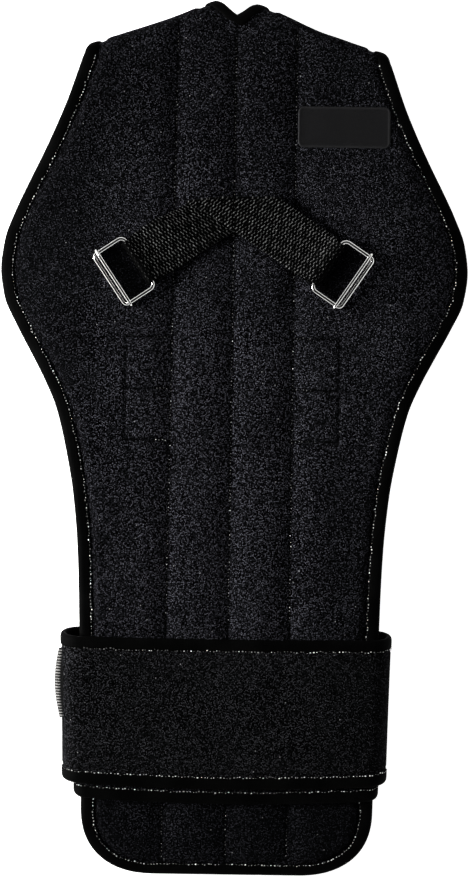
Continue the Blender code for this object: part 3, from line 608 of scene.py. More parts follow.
def panel_level(out, height, size, layer):
    """Middle of the panel: over the belt, over the straps, down at wings and tail."""
    over_belt = 1.0 - smooth_step(height, layer.belt_top, LEVEL_AGAIN * layer.belt_top)
    level = layer.panel + (layer.belted - layer.panel) * over_belt
    tail = np.sin(math.pi / 2 * np.clip(height / layer.belt_bottom, 0.0, 1.0))
    level = layer.tape_half + (level - layer.tape_half) * tail
    wing_width = size.panel.wing_half_width
    wing = smooth_step(np.abs(out), DROOP_START * wing_width, DROOP_END * wing_width)
    return level - (level - layer.tape_half) * wing


def fold_frame(size, layer):
    """Ends of the fold line on one side, and the ways along it and out over it."""
    panel = size.panel
    out = np.array([math.sin(panel.fold_slope), math.cos(panel.fold_slope)])
    along = np.array([math.cos(panel.fold_slope), -math.sin(panel.fold_slope)])
    notch = panel.body_length - panel.notch_depth - layer.inset
    roll = layer.fold_radius + layer.tape_half
    drift = 1.0 / math.tan(panel.neck_slope + panel.fold_slope)
    quarter = math.pi / 2 * layer.fold_radius
    rise = panel.body_length - notch - roll * out[1] - drift * quarter * along[1]
    inner = np.array([rise / math.tan(panel.neck_slope), notch + rise])
    reach = panel.shoulder_half_width - layer.inset
    outer = inner + along * (reach - inner[0]) / along[0]
    return SimpleNamespace(inner=inner, outer=outer, along=along, out=out, drift=drift,
                           notch=notch)


def strap_row_ends(size, start, tip_steps=12):
    """Inner and outer ends of a strap's rows, from its root to its round tip."""
    panel = size.panel
    tip = np.radians(np.linspace(0.0, 90.0, tip_steps))
    tip_along = 1.0 - panel.strap_tip / panel.strap_reach * (1.0 - np.sin(tip))
    along = np.concatenate((STRAP_ALONG, tip_along))
    centres = np.concatenate((STRAP_CENTRES, np.full(tip_steps, STRAP_CENTRES[-1])))
    tip_width = STRAP_WIDTHS[-1] * (TIP_SHARE + (1.0 - TIP_SHARE) * np.cos(tip))
    width = np.concatenate((STRAP_WIDTHS, tip_width)) * panel.strap_width
    lean = panel.fold_slope * (1.0 - smooth_step(along, 0.0, 0.3))
    centre = np.column_stack((centres * panel.strap_centre_out,
                              start - along * panel.strap_reach))
    reach = np.column_stack((np.cos(lean), -np.sin(lean))) * width[:, None] / 2
    return centre - reach, centre + reach


def half_rows(size, layer):
    """Ends of the rows of one half of the panel, from the tail to the strap's tip.

    Tail rows step up a full quarter ellipse, body rows are level lines, neck rows lean
    towards the fold line, fold rows turn half a circle about it and strap rows run
    down the rear. Levels are zero where the front's own level holds.
    """
    panel = size.panel
    fold = fold_frame(size, layer)
    turn = np.radians(np.linspace(0.0, 90.0, 26, endpoint=False))
    power = panel.tail_corner_power
    height = layer.inset + panel.tail_corner_up * (1.0 - np.cos(turn) ** power)
    half = side_half_width(height, size) - layer.inset
    half = half - panel.tail_corner_across * (1.0 - np.sin(turn) ** power)
    parts = [np.column_stack((0.0 * height, height, half, height))]

    lean_start = panel.body_length - LEAN_REACH * (panel.body_length - fold.outer[1])
    stops = (layer.inset + panel.tail_corner_up, panel.pocket_bottom, panel.pocket_middle,
             panel.pocket_top, lean_start)
    height = spread(stops, GRID_COARSE, GRID_FINE, GRID_REACH)
    half = side_half_width(height, size) - layer.inset
    parts.append(np.column_stack((0.0 * height, height, half, height)))

    steps = np.linspace(0.0, 4.0, 25)[1:]
    knots = np.arange(5)
    spare = np.array(NECK_SPARES) * layer.zone
    inner_knots = fold.notch - spare
    inner_knots[0] = lean_start
    inner_height = np.interp(steps, knots, inner_knots)
    outer_share = np.interp(steps, knots, LEAN_SHARES)
    outer_height = lean_start + (fold.outer[1] - lean_start) * outer_share
    half = side_half_width(outer_height, size) - layer.inset
    parts.append(np.column_stack((0.0 * half, inner_height, half, outer_height)))
    notch_row = sum(len(part) for part in parts) - 1

    to_fold = np.linspace(0.0, 1.0, 8)[1:, None]
    inner = np.array([0.0, fold.notch]) * (1.0 - to_fold) + fold.inner * to_fold
    outer = parts[-1][-1, 2:] * (1.0 - to_fold) + fold.outer * to_fold
    parts.append(np.column_stack((inner, outer)))
    fold_row = notch_row + len(to_fold)

    fold_level = float(panel_level(fold.inner[0], fold.inner[1], size, layer))
    radius = (fold_level - layer.strap) / 2
    turn = np.radians(np.linspace(0.0, 180.0, 22)[1:])[:, None]
    over = fold.out * radius * np.sin(turn)
    inner = fold.inner + fold.along * fold.drift * radius * turn + over
    outer = fold.outer - fold.along * OUTER_DRIFT * radius * turn + over
    parts.append(np.column_stack((inner, outer)))
    turned_row = fold_row + len(turn)

    root = (inner[-1] + outer[-1]) / 2
    strap_inner, strap_outer = strap_row_ends(size, root[1])
    knots = np.column_stack((strap_inner, strap_outer))
    knots = np.concatenate((parts[-1][-1:], knots))
    along = arc_length((knots[:, :2] + knots[:, 2:]) / 2)
    tip = len(STRAP_ALONG) + 1
    places = np.concatenate((np.arange(STRAP_STEP, along[tip], STRAP_STEP), along[tip:]))
    parts.append(np.column_stack([smooth_table(places, along, k) for k in knots.T]))

    rows = np.concatenate(parts)
    levels = np.zeros(len(rows))
    levels[fold_row + 1:turned_row + 1] = layer.strap + radius * (1.0 + np.cos(turn[:, 0]))
    levels[turned_row + 1:] = layer.strap
    marks = SimpleNamespace(notch=notch_row, fold=fold_row, turned=turned_row)
    return rows[:, :2], rows[:, 2:], levels, marks


def seam_out(height, side, size):
    """Place of a side's channel seam, which leans a little from neck to tail."""
    panel = size.panel
    neck, tail = panel.right_seam_neck, panel.right_seam_tail
    if side < 0:
        neck, tail = panel.left_seam_neck, panel.left_seam_tail
    return tail + (neck - tail) * height / panel.body_length


def panel_half(side, size, layer):
    """Middle surface of one half as a grid: rows from half_rows, places across them.

    Front rows are stretched piece by piece between the spine, the channel seam, the
    pocket's outer seam and the border, so that one column runs along each seam.
    """
    panel = size.panel
    inner, outer, levels, marks = half_rows(size, layer)
    seam = seam_out(inner[:, 1], side, size)
    start, end = inner[:, 0], outer[:, 0]
    pocket = np.minimum(panel.pocket_out, seam + POCKET_SHARE * (end - seam))
    stops = np.column_stack((start, seam, pocket, end))
    usual = np.array([0.0, panel.right_seam_tail, panel.pocket_out, USUAL_HALF_WIDTH])
    places = spread(usual, GRID_COARSE, GRID_FINE, GRID_REACH)
    section = np.clip(np.searchsorted(usual, places, side="right") - 1, 0, 2)
    part = (places - usual[section]) / (usual[section + 1] - usual[section])
    across = stops[:, section] * (1.0 - part) + stops[:, section + 1] * part
    ratio = (across - start[:, None]) / (end - start)[:, None]
    ratio[marks.fold + 1:] = ratio[marks.fold]
    flat = inner[:, None] + ratio[..., None] * (outer - inner)[:, None]
    front = panel_level(flat[..., 0], flat[..., 1], size, layer)
    level = np.where(levels[:, None] > 0.0, levels[:, None], front)
    return np.dstack((flat, level)), marks


def distance_to_path(points, path):
    """Shortest way from each point to the straight runs of a path, run by run."""
    nearest = np.full(points.shape[:-1], np.inf)
    for start, end in zip(path[:-1], path[1:]):
        run = end - start
        part = np.clip((points - start) @ run / max(run @ run, 1e-12), 0.0, 1.0)
        gap = points - start - part[..., None] * run
        nearest = np.minimum(nearest, np.linalg.norm(gap, axis=-1))
    return nearest


def border_distance(points, marks):
    """Way from each point of a half to its bound border."""
    front, strap = points[:marks.fold + 1], points[marks.fold:]
    outer_edge = np.concatenate((front[0, ::4], front[::4, -1], front[-1:, -1]))
    neck = points[marks.notch:marks.fold + 1, 0]
    strap_edge = np.concatenate((strap[::3, 0], strap[-1, ::4], strap[::-3, -1]))
    distance = np.empty(points.shape[:2])
    distance[:marks.fold + 1] = np.minimum(distance_to_path(front, outer_edge),
                                           NECK_SHARE * distance_to_path(front, neck))
    distance[marks.fold + 1:] = distance_to_path(strap[1:], strap_edge)
    return distance


def quilt_thickness(points, marks, side, size, layer):
    """Padding of one half, and its painted shade.

    Between two seams it swells as 1 - |2u - 1|^p of the share u across the channel,
    beyond the outer seam as 1 - (1 - u)^p over the first channel's half, less a bell
    at each line of the pocket, and it is flat under the binding.
    """
    panel = size.panel
    out, height = points[..., 0], points[..., 1]
    seam = seam_out(height, side, size)
    inside = 1.0 - np.abs(2.0 * np.clip(out / seam, 0.0, 1.0) - 1.0) ** SWELL_POWER
    beyond = 1.0 - (1.0 - np.clip((out - seam) / (0.5 * seam), 0.0, 1.0)) ** SWELL_POWER
    row = np.arange(len(out))[:, None]
    front = row <= marks.fold
    swell = 1.0 + (np.where(out < seam, inside, beyond) - 1.0) * front
    thinning_start, strap_start = marks.notch - 22, marks.fold + 8
    stuffed = 1.0 - smooth_step(row, thinning_start, marks.notch)
    full = panel.pad_thickness + (panel.pillow_thickness - panel.pad_thickness) * stuffed
    full = np.where(row < strap_start, full, panel.strap_thickness)
    pad = panel.seam_thickness + (full - panel.seam_thickness) * swell
    near_seam = bell(np.minimum(np.abs(out), np.abs(out - seam)), PUCKER_REACH)
    puckers = waves(height, out * 0.3, PUCKER_LENGTH, 11 + int(side))
    pad += PUCKER_HEIGHT * near_seam * puckers * swell
    pad += DENT_HEIGHT * waves(out, height, DENT_LENGTH, 23 + int(side))
    width = panel.groove_width
    beside = smooth_step(out, seam - width, seam) * smooth_step(-out, -panel.pocket_out - width,
                                                                -panel.pocket_out)
    rows = np.max([bell(height - line, width) for line in (
        panel.pocket_top, panel.pocket_middle, panel.pocket_bottom)], axis=0)
    between = (height > panel.pocket_bottom) & (height < panel.pocket_top)
    upright = 0.7 * bell(out - panel.pocket_out, width) * between
    line = np.maximum(rows * beside, upright)
    pad -= panel.groove_depth * line * front
    cover = smooth_step(border_distance(points, marks), COVER_START * layer.zone,
                        COVER_END * layer.zone)
    deepest = -0.001
    thickness = panel.edge_thickness + np.maximum(pad - panel.edge_thickness, deepest) * cover
    return thickness, painted_shade_map(out, height, seam, line * front, side, size)


def fade_by_step(value, share, start, end):
    """One less a share that a smooth step brings in between two places."""
    return 1.0 - share * smooth_step(value, start, end)


def painted_shade_map(out, height, seam, line, side, size):
    """Painted shade on the pile: darker in the seams, at the wings, tail and neck, where less light falls.

    The product of one less a smooth step for each place and one less a bell for each
    seam, as a share of the pile's full brightness. The right half starts a little
    lower. Painted shadows darken the rings' slots and the cloth along the webbing's
    lower edges.
    """
    wing, top = size.panel.wing_half_width, size.panel.body_length
    # Painted shade: the pile is darker towards the wings, over the whole right half and its lower outer
    # part, at the neck and at the tail, where less light falls
    share, start, end = SHADE_LEFT
    left = fade_by_step(out, share, start * wing, end * wing)
    blade = smooth_step(height, SHADE_BLADE[0] * top, SHADE_BLADE[1] * top)
    share, start, end = SHADE_RIGHT
    low_right = share * smooth_step(out, start * wing, end * wing) * (1.0 - blade)
    tone_and_painted_shade = left if side < 0 else SHADE_RIGHT_FULL - low_right
    share, start, end = SHADE_NECK
    tone_and_painted_shade = tone_and_painted_shade * fade_by_step(height, share, start * top, end * top)
    share, start, end = SHADE_TAIL
    tone_and_painted_shade = tone_and_painted_shade * (share + (1.0 - share) * smooth_step(height, start * top, end * top))
    # Painted shade in the channel seams and the pocket's seams
    nearest = np.minimum(np.abs(out), np.abs(out - seam))
    tone_and_painted_shade = tone_and_painted_shade * (1.0 - SHADE_SEAM * bell(nearest, SEAM_SHADE_HALF_WIDTH)) * (1.0 - SHADE_POCKET * line)
    webbing, wire = size.webbing, size.wire
    below = height - (top - webbing.crease_drop)
    slope = webbing.slope
    along = out * math.cos(slope) - below * math.sin(slope)
    across = out * math.sin(slope) + below * math.cos(slope)
    # Painted shadow inside the ring slots, between the rings and the webbing
    middle = np.abs(along - webbing.arm - SLOT_SHADOW_PLACE * wire.along)
    start, end = SLOT_SHADOW_ALONG
    slot = 1.0 - smooth_step(middle, start * wire.along, end * wire.along)
    start, end = SLOT_SHADOW_ACROSS
    slot = slot * (1.0 - smooth_step(np.abs(across), start * wire.across, end * wire.across))
    # Painted shadow that the webbing casts below its lower edges
    webbing_shadow = bell(across + 0.5 * webbing.width + WEBBING_SHADOW_BELOW, WEBBING_SHADOW_WIDTH)
    webbing_shadow = webbing_shadow * smooth_step(along, WEBBING_SHADOW_START, WEBBING_SHADOW_FULL)
    webbing_shadow = webbing_shadow * (1.0 - smooth_step(along, webbing.arm, webbing.arm + WEBBING_SHADOW_END))
    return tone_and_painted_shade * (1.0 - SLOT_SHADOW * slot) * (1.0 - WEBBING_SHADOW * webbing_shadow)


def border_spots(shape, marks):
    """Grid places round one half's border: tail, side, strap tip, strap and neck."""
    rows, columns = shape
    tail = np.column_stack((np.zeros(columns - 1, int), np.arange(columns - 1)))
    side = np.column_stack((np.arange(rows - 1), np.full(rows - 1, columns - 1)))
    tip = np.column_stack((np.full(columns - 1, rows - 1), np.arange(columns - 1, 0, -1)))
    back = np.arange(rows - 1, marks.notch - 1, -1)
    strap = np.column_stack((back, np.zeros(len(back), int)))
    return np.concatenate((tail, side, tip, strap))


def mirrored(values):
    """The same values on the other side of the spine."""
    return values * np.array([-1.0, 1.0, 1.0])


def round_border(size, layer, step=0.0012):
    """Stations round the whole border, with the ways out of the sheet and off it.

    One half is read off the panel's grid at even steps, and the other is its mirror
    image run backwards. Where the border turns over the fold, the way out lies along
    the fold line, because a straight leg can't follow the sheet across the turn.
    """
    points, marks = panel_half(1.0, size, layer)
    normals = point_normals(points.reshape(-1, 3), grid_faces(points)).reshape(points.shape)
    spots = border_spots(points.shape[:2], marks)
    path = points[spots[:, 0], spots[:, 1]]
    up = normals[spots[:, 0], spots[:, 1]]
    fold = fold_frame(size, layer)
    lean = np.clip(spots[:, 0] - marks.fold, 0, marks.turned - marks.fold) / (
        marks.turned - marks.fold) * math.pi
    over = np.column_stack((fold.out[0] * np.sin(lean), fold.out[1] * np.sin(lean),
                            np.cos(lean)))
    turning = (spots[:, 0] > marks.fold) & (spots[:, 0] <= marks.turned)
    up = np.where(turning[:, None], over, up)
    along = arc_length(path)
    edge_side = np.where(spots[:, 1] == 0, -1.0, 1.0)
    on_turn = (spots[:, 0] >= marks.notch + 1) & (spots[:, 0] <= marks.turned)
    values = np.column_stack((path, up, edge_side, on_turn, spots[:, 0] <= marks.fold))
    places = np.linspace(0.0, along[-1], int(along[-1] / step) + 1)
    read = at_places(places, along, values)
    path, up = read[:, :3], unit(read[:, 3:6])
    tangent = np.gradient(path, axis=0)
    tangent[0] = (1.0, 0.0, 0.0)
    tangent[-1] = (-1.0, 0.0, 0.0)
    tangent = unit(tangent)
    square = unit(np.cross(tangent, up))
    fold_way = np.array([fold.along[0], fold.along[1], 0.0]) * np.sign(read[:, 6:7])
    blur = np.ones(5) / 5
    weight = np.convolve(read[:, 7], blur, mode="same")[:, None]
    out = unit(square * (1.0 - weight) + fold_way * weight)
    up = unit(up - out * np.sum(up * out, axis=1, keepdims=True))
    facing = np.sum(out * square, axis=1)
    stretch = 1.0 / np.maximum(facing, 0.6)
    front = read[:, 8] > 0.5
    back = slice(-2, 0, -1)
    return SimpleNamespace(
        path=np.concatenate((path, mirrored(path)[back])),
        out=np.concatenate((out, mirrored(out)[back])),
        up=np.concatenate((up, mirrored(up)[back])),
        stretch=np.concatenate((stretch, stretch[back])),
        front=np.concatenate((front, front[back])))


def tape_profile(edge_thickness, thickness, leg, gap, steps=9):
    """Section of a folded tape, as ways out of the sheet's edge and off the sheet.

    Its outer line is half of a long ellipse round the edge, its inner line runs along
    the sheet at the fit gap, and its two hems are rounded.
    """
    inside = edge_thickness / 2 + gap
    outside = inside + thickness
    nose = gap + thickness
    turn = np.linspace(0.0, math.pi / 2, steps)
    reach = nose - (nose + 0.35 * leg) * (1.0 - np.sin(turn))
    lift = outside * np.cos(turn) ** 0.8
    upper = np.column_stack((reach, lift))
    hem = np.array([(-leg, inside), (-1.02 * leg, inside + 0.35 * thickness),
                    (-0.97 * leg, inside + 0.75 * thickness), (-0.75 * leg, outside)])
    core = np.array([(gap, inside * 0.5), (0.4 * gap, inside)])
    top = np.concatenate((core, hem, upper[:-1]))
    bottom = top[::-1] * np.array([1.0, -1.0])
    return np.concatenate((top, [(nose, 0.0)], bottom))


def beads(centres, along, up, size_along, size_across, size_up):
    """Small oval grains: rings of six points at three latitudes and two poles each.

    point = centre + along * a cos(v) cos(u) + across * b cos(v) sin(u) + up * c sin(v)
    """
    u = np.arange(BEAD_SIDES) * 2 * math.pi / BEAD_SIDES
    v = np.radians(np.linspace(-45.0, 45.0, BEAD_RINGS))
    shape = np.array([(math.cos(b) * math.cos(a), math.cos(b) * math.sin(a), math.sin(b))
                      for b in v for a in u] + [(0.0, 0.0, -1.0), (0.0, 0.0, 1.0)])
    ring = np.arange(BEAD_SIDES)
    after = (ring + 1) % BEAD_SIDES
    pole = np.full(BEAD_SIDES, BEAD_SIDES * BEAD_RINGS)
    faces = []
    for level in range(0, BEAD_SIDES * (BEAD_RINGS - 1), BEAD_SIDES):
        above = level + BEAD_SIDES
        faces.append(np.column_stack((level + ring, level + after, above + after)))
        faces.append(np.column_stack((level + ring, above + after, above + ring)))
    faces.append(np.column_stack((after, ring, pole)))
    faces.append(np.column_stack((above + ring, above + after, pole + 1)))
    faces = np.concatenate(faces)
    across = np.cross(up, along)
    scaled = np.stack((np.broadcast_to(size_along, len(centres)),
                       np.broadcast_to(size_across, len(centres)),
                       np.broadcast_to(size_up, len(centres))), axis=-1)
    local = shape[None] * scaled[:, None]
    points = (centres[:, None] + local[..., :1] * along[:, None]
              + local[..., 1:2] * across[:, None] + local[..., 2:] * up[:, None])
    numbers = faces[None] + (np.arange(len(centres)) * len(shape))[:, None, None]
    return points.reshape(-1, 3), numbers.reshape(-1, 3)


def seam_specks(name, line, up, size, material, seed, dimming=BORDER_WEAR):
    """Overcast stitches along a line at an even pitch, each a little off in place and size.

    A stitch's glow is a random share to the power of the wear, so a well worn seam
    shows only a few bright stitches.
    """
    tape = size.tape
    along = arc_length(line)
    draw = np.random.default_rng(seed)
    count = int(along[-1] / tape.stitch_pitch)
    places = (np.arange(count) + 0.5 + draw.uniform(-0.2, 0.2, count)) * tape.stitch_pitch
    centres = at_places(places, along, line)
    ups = unit(at_places(places, along, up))
    way = unit(at_places(places, along, np.gradient(line, axis=0)))
    across = np.cross(ups, way)
    centres = centres + across * draw.normal(0.0, STITCH_SCATTER, count)[:, None]
    grow = draw.uniform(0.35, 1.0, count)
    points, faces = beads(centres, way, ups, 0.5 * tape.stitch_length * grow,
                          0.5 * tape.stitch_width * grow, STITCH_HALF_HEIGHT * grow)
    glow = np.repeat(draw.uniform(0.0, 1.0, count) ** dimming, BEAD_POINTS)
    return add_piece(name, points, faces, material, {"glow": glow})


def settled(points, size, layer):
    """The body as it lies: its right shoulder a little lower, its neck's left peak higher.

    y changes by -d s(x) s(y), where s are smooth steps, and by two bells beside the
    spine close to the neck.
    """
    out, height = points[..., 0], points[..., 1] - layer.tail_y
    top = size.panel.body_length
    drop = size.panel.shoulder_drop * smooth_step(out, 0.012, 0.045)
    drop = drop * smooth_step(height, 0.70 * top, 0.94 * top)
    rise, place, width = NECK_PEAK
    lift = rise * bell(out - place, width) - NECK_DIP[0] * bell(out, NECK_DIP[1])
    lift = lift * smooth_step(height, 0.93 * top, 0.985 * top)
    moved = points.copy()
    moved[..., 0] += size.panel.right_reach * smooth_step(out, 0.03, 0.07)
    moved[..., 1] += lift - drop
    return moved


def make_panel(size, layer):
    """Quilted body with its shoulder straps: two halves that share the spine's points."""
    halves = []
    for side in (1.0, -1.0):
        points, marks = panel_half(side, size, layer)
        halves.append((points, *quilt_thickness(points, marks, side, size, layer)))
    rows, columns = halves[0][0].shape[:2]
    right = np.arange(rows * columns).reshape(rows, columns)
    left = right + rows * columns
    left[:marks.notch + 1, 0] = right[:marks.notch + 1, 0]
    faces = np.concatenate((quads(right), quads(left[:, ::-1])))
    points = np.concatenate((halves[0][0].reshape(-1, 3), mirrored(halves[1][0]).reshape(-1, 3)))
    thickness = np.concatenate((halves[0][1].ravel(), halves[1][1].ravel()))
    # Painted shade of both halves, kept on the points for the pile's colour
    tone_and_painted_shade = np.concatenate((halves[0][2].ravel(), halves[1][2].ravel()))
    points, faces, used = compact(points, faces)
    points = settled(points + np.array([0.0, layer.tail_y, 0.0]), size, layer)
    points, faces = thicken(points, faces, thickness[used])
    panel = add_piece("quilted_panel", points, faces, pile_material(size, "body"),
                      {"tone_and_painted_shade": np.tile(tone_and_painted_shade[used], 2)})
    settle(panel, "brace", "loop_fabric", "back_panel")


def binding_sections(border, profile, size, layer):
    """Sections of the border's tape. On the front its legs follow the panel's level."""
    points, faces = sweep(border.path, border.out, border.up, profile, stretch=border.stretch)
    legs = points[border.front][:, :, :2]
    drop = panel_level(legs[..., 0], legs[..., 1], size, layer)
    start = panel_level(border.path[border.front, 0], border.path[border.front, 1], size, layer)
    under = drop - start[:, None]
    inward = np.broadcast_to(profile[:, 0] < 0.0, under.shape)
    shear = border.out[border.front, 2][:, None] * profile[None, :, 0]
    points[border.front, :, 2] += np.where(inward, under - shear, 0.0)
    return points, faces


def make_binding(size, layer):
    """Folded tape round the border, and the stitches along its hem where it faces front."""
    panel, tape = size.panel, size.tape
    border = round_border(size, layer)
    profile = tape_profile(panel.edge_thickness, tape.thickness, tape.leg, tape.gap)
    points, faces = binding_sections(border, profile, size, layer)
    shift = np.array([0.0, layer.tail_y, 0.0])
    points = settled(points.reshape(-1, 3) + shift, size, layer)
    binding = add_piece("panel_binding", points, faces, tape_material(size))
    settle(binding, "brace", "binding_tape", "edge_tape")

    hem = np.array([[-0.99 * tape.leg, layer.tape_half]])
    line = settled(binding_sections(border, hem, size, layer)[0][:, 0] + shift, size, layer)
    thread = thread_material(size)
    neck_half_width = 0.018
    neck = (np.abs(line[:, 0]) < neck_half_width) & (line[:, 1] > 0.0)
    front = np.nonzero(border.front & ~neck)[0]
    breaks = np.nonzero(np.diff(front) > 1)[0]
    runs = np.split(front, breaks + 1)
    for number, run in enumerate(r for r in runs if len(r) > 4):
        stitches = seam_specks(f"binding_stitches_{number + 1}", line[run], border.up[run],
                               size, thread, 41 + number)
        settle(stitches, "brace", "binding_tape")


def turn_section(front_level, rear_level, half_widths, flat_steps=70, turn_steps=19):
    """One turn of belt seen along Y, as a row of points for each half width.

    x = flat a + radius b and z = middle + radius c, where a runs over the flat front
    and rear and (b, c) turn half a circle at each side.
    """
    radius = (front_level - rear_level) / 2
    middle = (front_level + rear_level) / 2
    flat_share = np.linspace(-1.0, 1.0, flat_steps + 2)[1:-1]
    turn = np.linspace(math.pi / 2, -math.pi / 2, turn_steps)
    still, level = np.zeros(flat_steps), np.ones(flat_steps)
    end = np.ones(turn_steps)
    a = np.concatenate((flat_share, end, flat_share[::-1], -end))
    b = np.concatenate((still, np.cos(turn), still, -np.cos(turn)))
    c = np.concatenate((level, np.sin(turn), -level, -np.sin(turn)))
    x = a[:, None] * (half_widths - radius) + radius * b[:, None]
    z = np.broadcast_to((middle + radius * c)[:, None], x.shape)
    return x, z


def turn_grid(front_level, rear_level, bottom, slack, shift, size, layer, seed):
    """Middle surface of one turn of belt: points round it, and across its width.

    The front sags by s (1 - (x / half)^2) and swells by its crown in the same way,
    the rear lies higher by the rear rise, and the left side stands out by the shift.
    """
    belt, tape = size.belt, size.tape
    inset = tape.belt_thickness + tape.gap
    low, top = bottom + inset, bottom + belt.width - inset
    zone = tape.leg + 2 * tape.gap
    heights = spread((low, low + zone, top - zone, top), 0.0022, 0.0007, 0.002)
    half = side_half_width(heights, size) + slack
    x, z = turn_section(front_level, rear_level, half)
    front = (z - rear_level) / (front_level - rear_level)
    round_off = 1.0 - (x / half) ** 2
    lowered = 1.0 - SAG_EASE * (heights - low) / (top - low)
    y = heights + belt.rear_rise * (1.0 - front) - belt.outer_sag * round_off * front * lowered
    middle = np.sin(math.pi * (heights - low) / (top - low))
    z = z + belt.crown * round_off * front * (CROWN_SHARE + (1.0 - CROWN_SHARE) * middle)
    z = z + RIPPLE_HEIGHT * waves(x, y, RIPPLE_LENGTH, seed) * front * middle
    x = x - shift * smooth_step(-x, 0.25 * half, half)
    grid = np.dstack((x, y + layer.tail_y, z))
    edge = np.minimum(heights - low, top - heights)
    cover = smooth_step(edge, BELT_COVER_START * zone, COVER_END * zone)
    thickness = belt.edge_thickness + (belt.thickness - belt.edge_thickness) * cover
    return grid, np.broadcast_to(thickness, x.shape)


def make_turn(name, node, grid, thickness, size):
    """Cloth of one turn, with painted shade that darkens it towards the right."""
    points, faces = thicken(grid.reshape(-1, 3), grid_faces(grid, around=True), thickness)
    # Painted shade: the belt's cloth is darker towards its right side
    tone_and_painted_shade = fade_by_step(grid[..., 0], *BELT_SHADE)
    turn = add_piece(name, points, faces, pile_material(size, "belt"),
                     {"tone_and_painted_shade": np.tile(tone_and_painted_shade.ravel(), 2)})
    settle(turn, "brace", "loop_fabric", node)


def make_turn_edge(name, node, grid, column, dimming, size, seed):
    """Tape over one long edge of a turn, and the stitches along its hem."""
    belt, tape = size.belt, size.tape
    path = grid[:, column]
    inward = grid[:, 4] if column == 0 else grid[:, -5]
    out = unit(path - inward)
    way = np.roll(path, -1, axis=0) - np.roll(path, 1, axis=0)
    up = unit(np.cross(out, way))
    centre = path.mean(axis=0)
    if np.sum(up[:, [0, 2]] * (path - centre)[:, [0, 2]]) < 0.0:
        up = -up
    profile = tape_profile(belt.edge_thickness, tape.belt_thickness, tape.leg, tape.gap)
    points, faces = sweep(path, out, up, profile)
    binding = add_piece(name, points.reshape(-1, 3), faces, tape_material(size))
    settle(binding, "brace", "binding_tape", node)
    lift = belt.edge_thickness / 2 + tape.gap + tape.belt_thickness
    line = path - out * tape.leg + up * lift
    line = np.concatenate((line, line[:1]))
    stitches = seam_specks(name + "_stitches", line, np.concatenate((up, up[:1])), size,
                           thread_material(size), seed, dimming)
    settle(stitches, "brace", "binding_tape")


def make_belt(size, layer):
    """Both turns of the belt, each with the tapes and stitches of its two long edges."""
    belt = size.belt
    outer_slack = belt.inner_slack + layer.belt_layer + belt.outer_slack
    turns = (
        ("inner_turn", layer.inner_front, layer.inner_rear, layer.belt_bottom,
         belt.inner_slack, 0.0, 61),
        ("outer_turn", layer.outer_front, layer.outer_rear, belt.outer_bottom,
         outer_slack, belt.left_shift, 71),
    )
    for name, front_level, rear_level, bottom, slack, shift, seed in turns:
        grid, thickness = turn_grid(front_level, rear_level, bottom,
                                    slack + layer.belt_layer / 2, shift, size, layer, seed)
        make_turn("waist_" + name, "belt_" + name, grid, thickness, size)
        edges = (("lower", 0, LOWER_WEAR, seed + 1), ("upper", -1, UPPER_WEAR, seed + 2))
        for edge, column, dimming, draw in edges:
            make_turn_edge(f"waist_{name}_{edge}_binding", f"belt_{name}_{edge}_tape", grid,
                           column, dimming, size, draw)


def make_elastic(size, layer):
    """Ribbed elastic bowed out over the belt's left side.

    A bowed half cylinder, its thickness rippling as cos(2 pi y / pitch) up its width.
    """
    belt, tape = size.belt, size.tape
    top = belt.outer_bottom + belt.width - belt.elastic_drop
    heights = np.linspace(top - belt.elastic_length, top, 210)
    turn = np.radians(np.linspace(ELASTIC_FRONT, ELASTIC_REAR, 48))[:, None]
    radius = (layer.outer_front - layer.outer_rear) / 2
    middle = (layer.outer_front + layer.outer_rear) / 2
    seat = radius + belt.thickness / 2 + tape.gap + belt.elastic_thickness / 2
    reach = belt.inner_slack + belt.outer_slack + 1.5 * layer.belt_layer
    swell = np.cos((turn - math.pi) * 90.0 / (ELASTIC_REAR - 180.0)) ** 2
    up = (heights - heights[0]) / (heights[-1] - heights[0])
    bow = belt.elastic_bow * np.sin(math.pi * up) * swell
    bow = bow - TUCK_DEPTH * smooth_step(-turn, -math.radians(TUCK_START),
                                         -math.radians(TUCK_END))
    half = side_half_width(heights, size) + reach - radius + belt.left_shift
    x = -half + (seat + bow) * np.cos(turn)
    z = middle + (seat + bow) * np.sin(turn)
    y = np.broadcast_to(heights + layer.tail_y, x.shape)
    grid = np.dstack((x, y, z))
    rib = 0.5 + 0.5 * np.cos(2 * math.pi * heights / belt.elastic_rib)
    shown = smooth_step(turn, math.radians(RIBS_START), math.radians(RIBS_FULL))
    rib = rib * (0.05 + 0.95 * shown)
    thickness = belt.elastic_thickness * (0.70 + 0.40 * rib)
    points, faces = thicken(grid.reshape(-1, 3), grid_faces(grid), thickness)
    elastic = add_piece("ribbed_side_elastic", points, faces, elastic_material(size),
                        {"rib": np.tile(rib.ravel(), 2)})
    settle(elastic, "brace", "ribbed_elastic", "side_elastic")


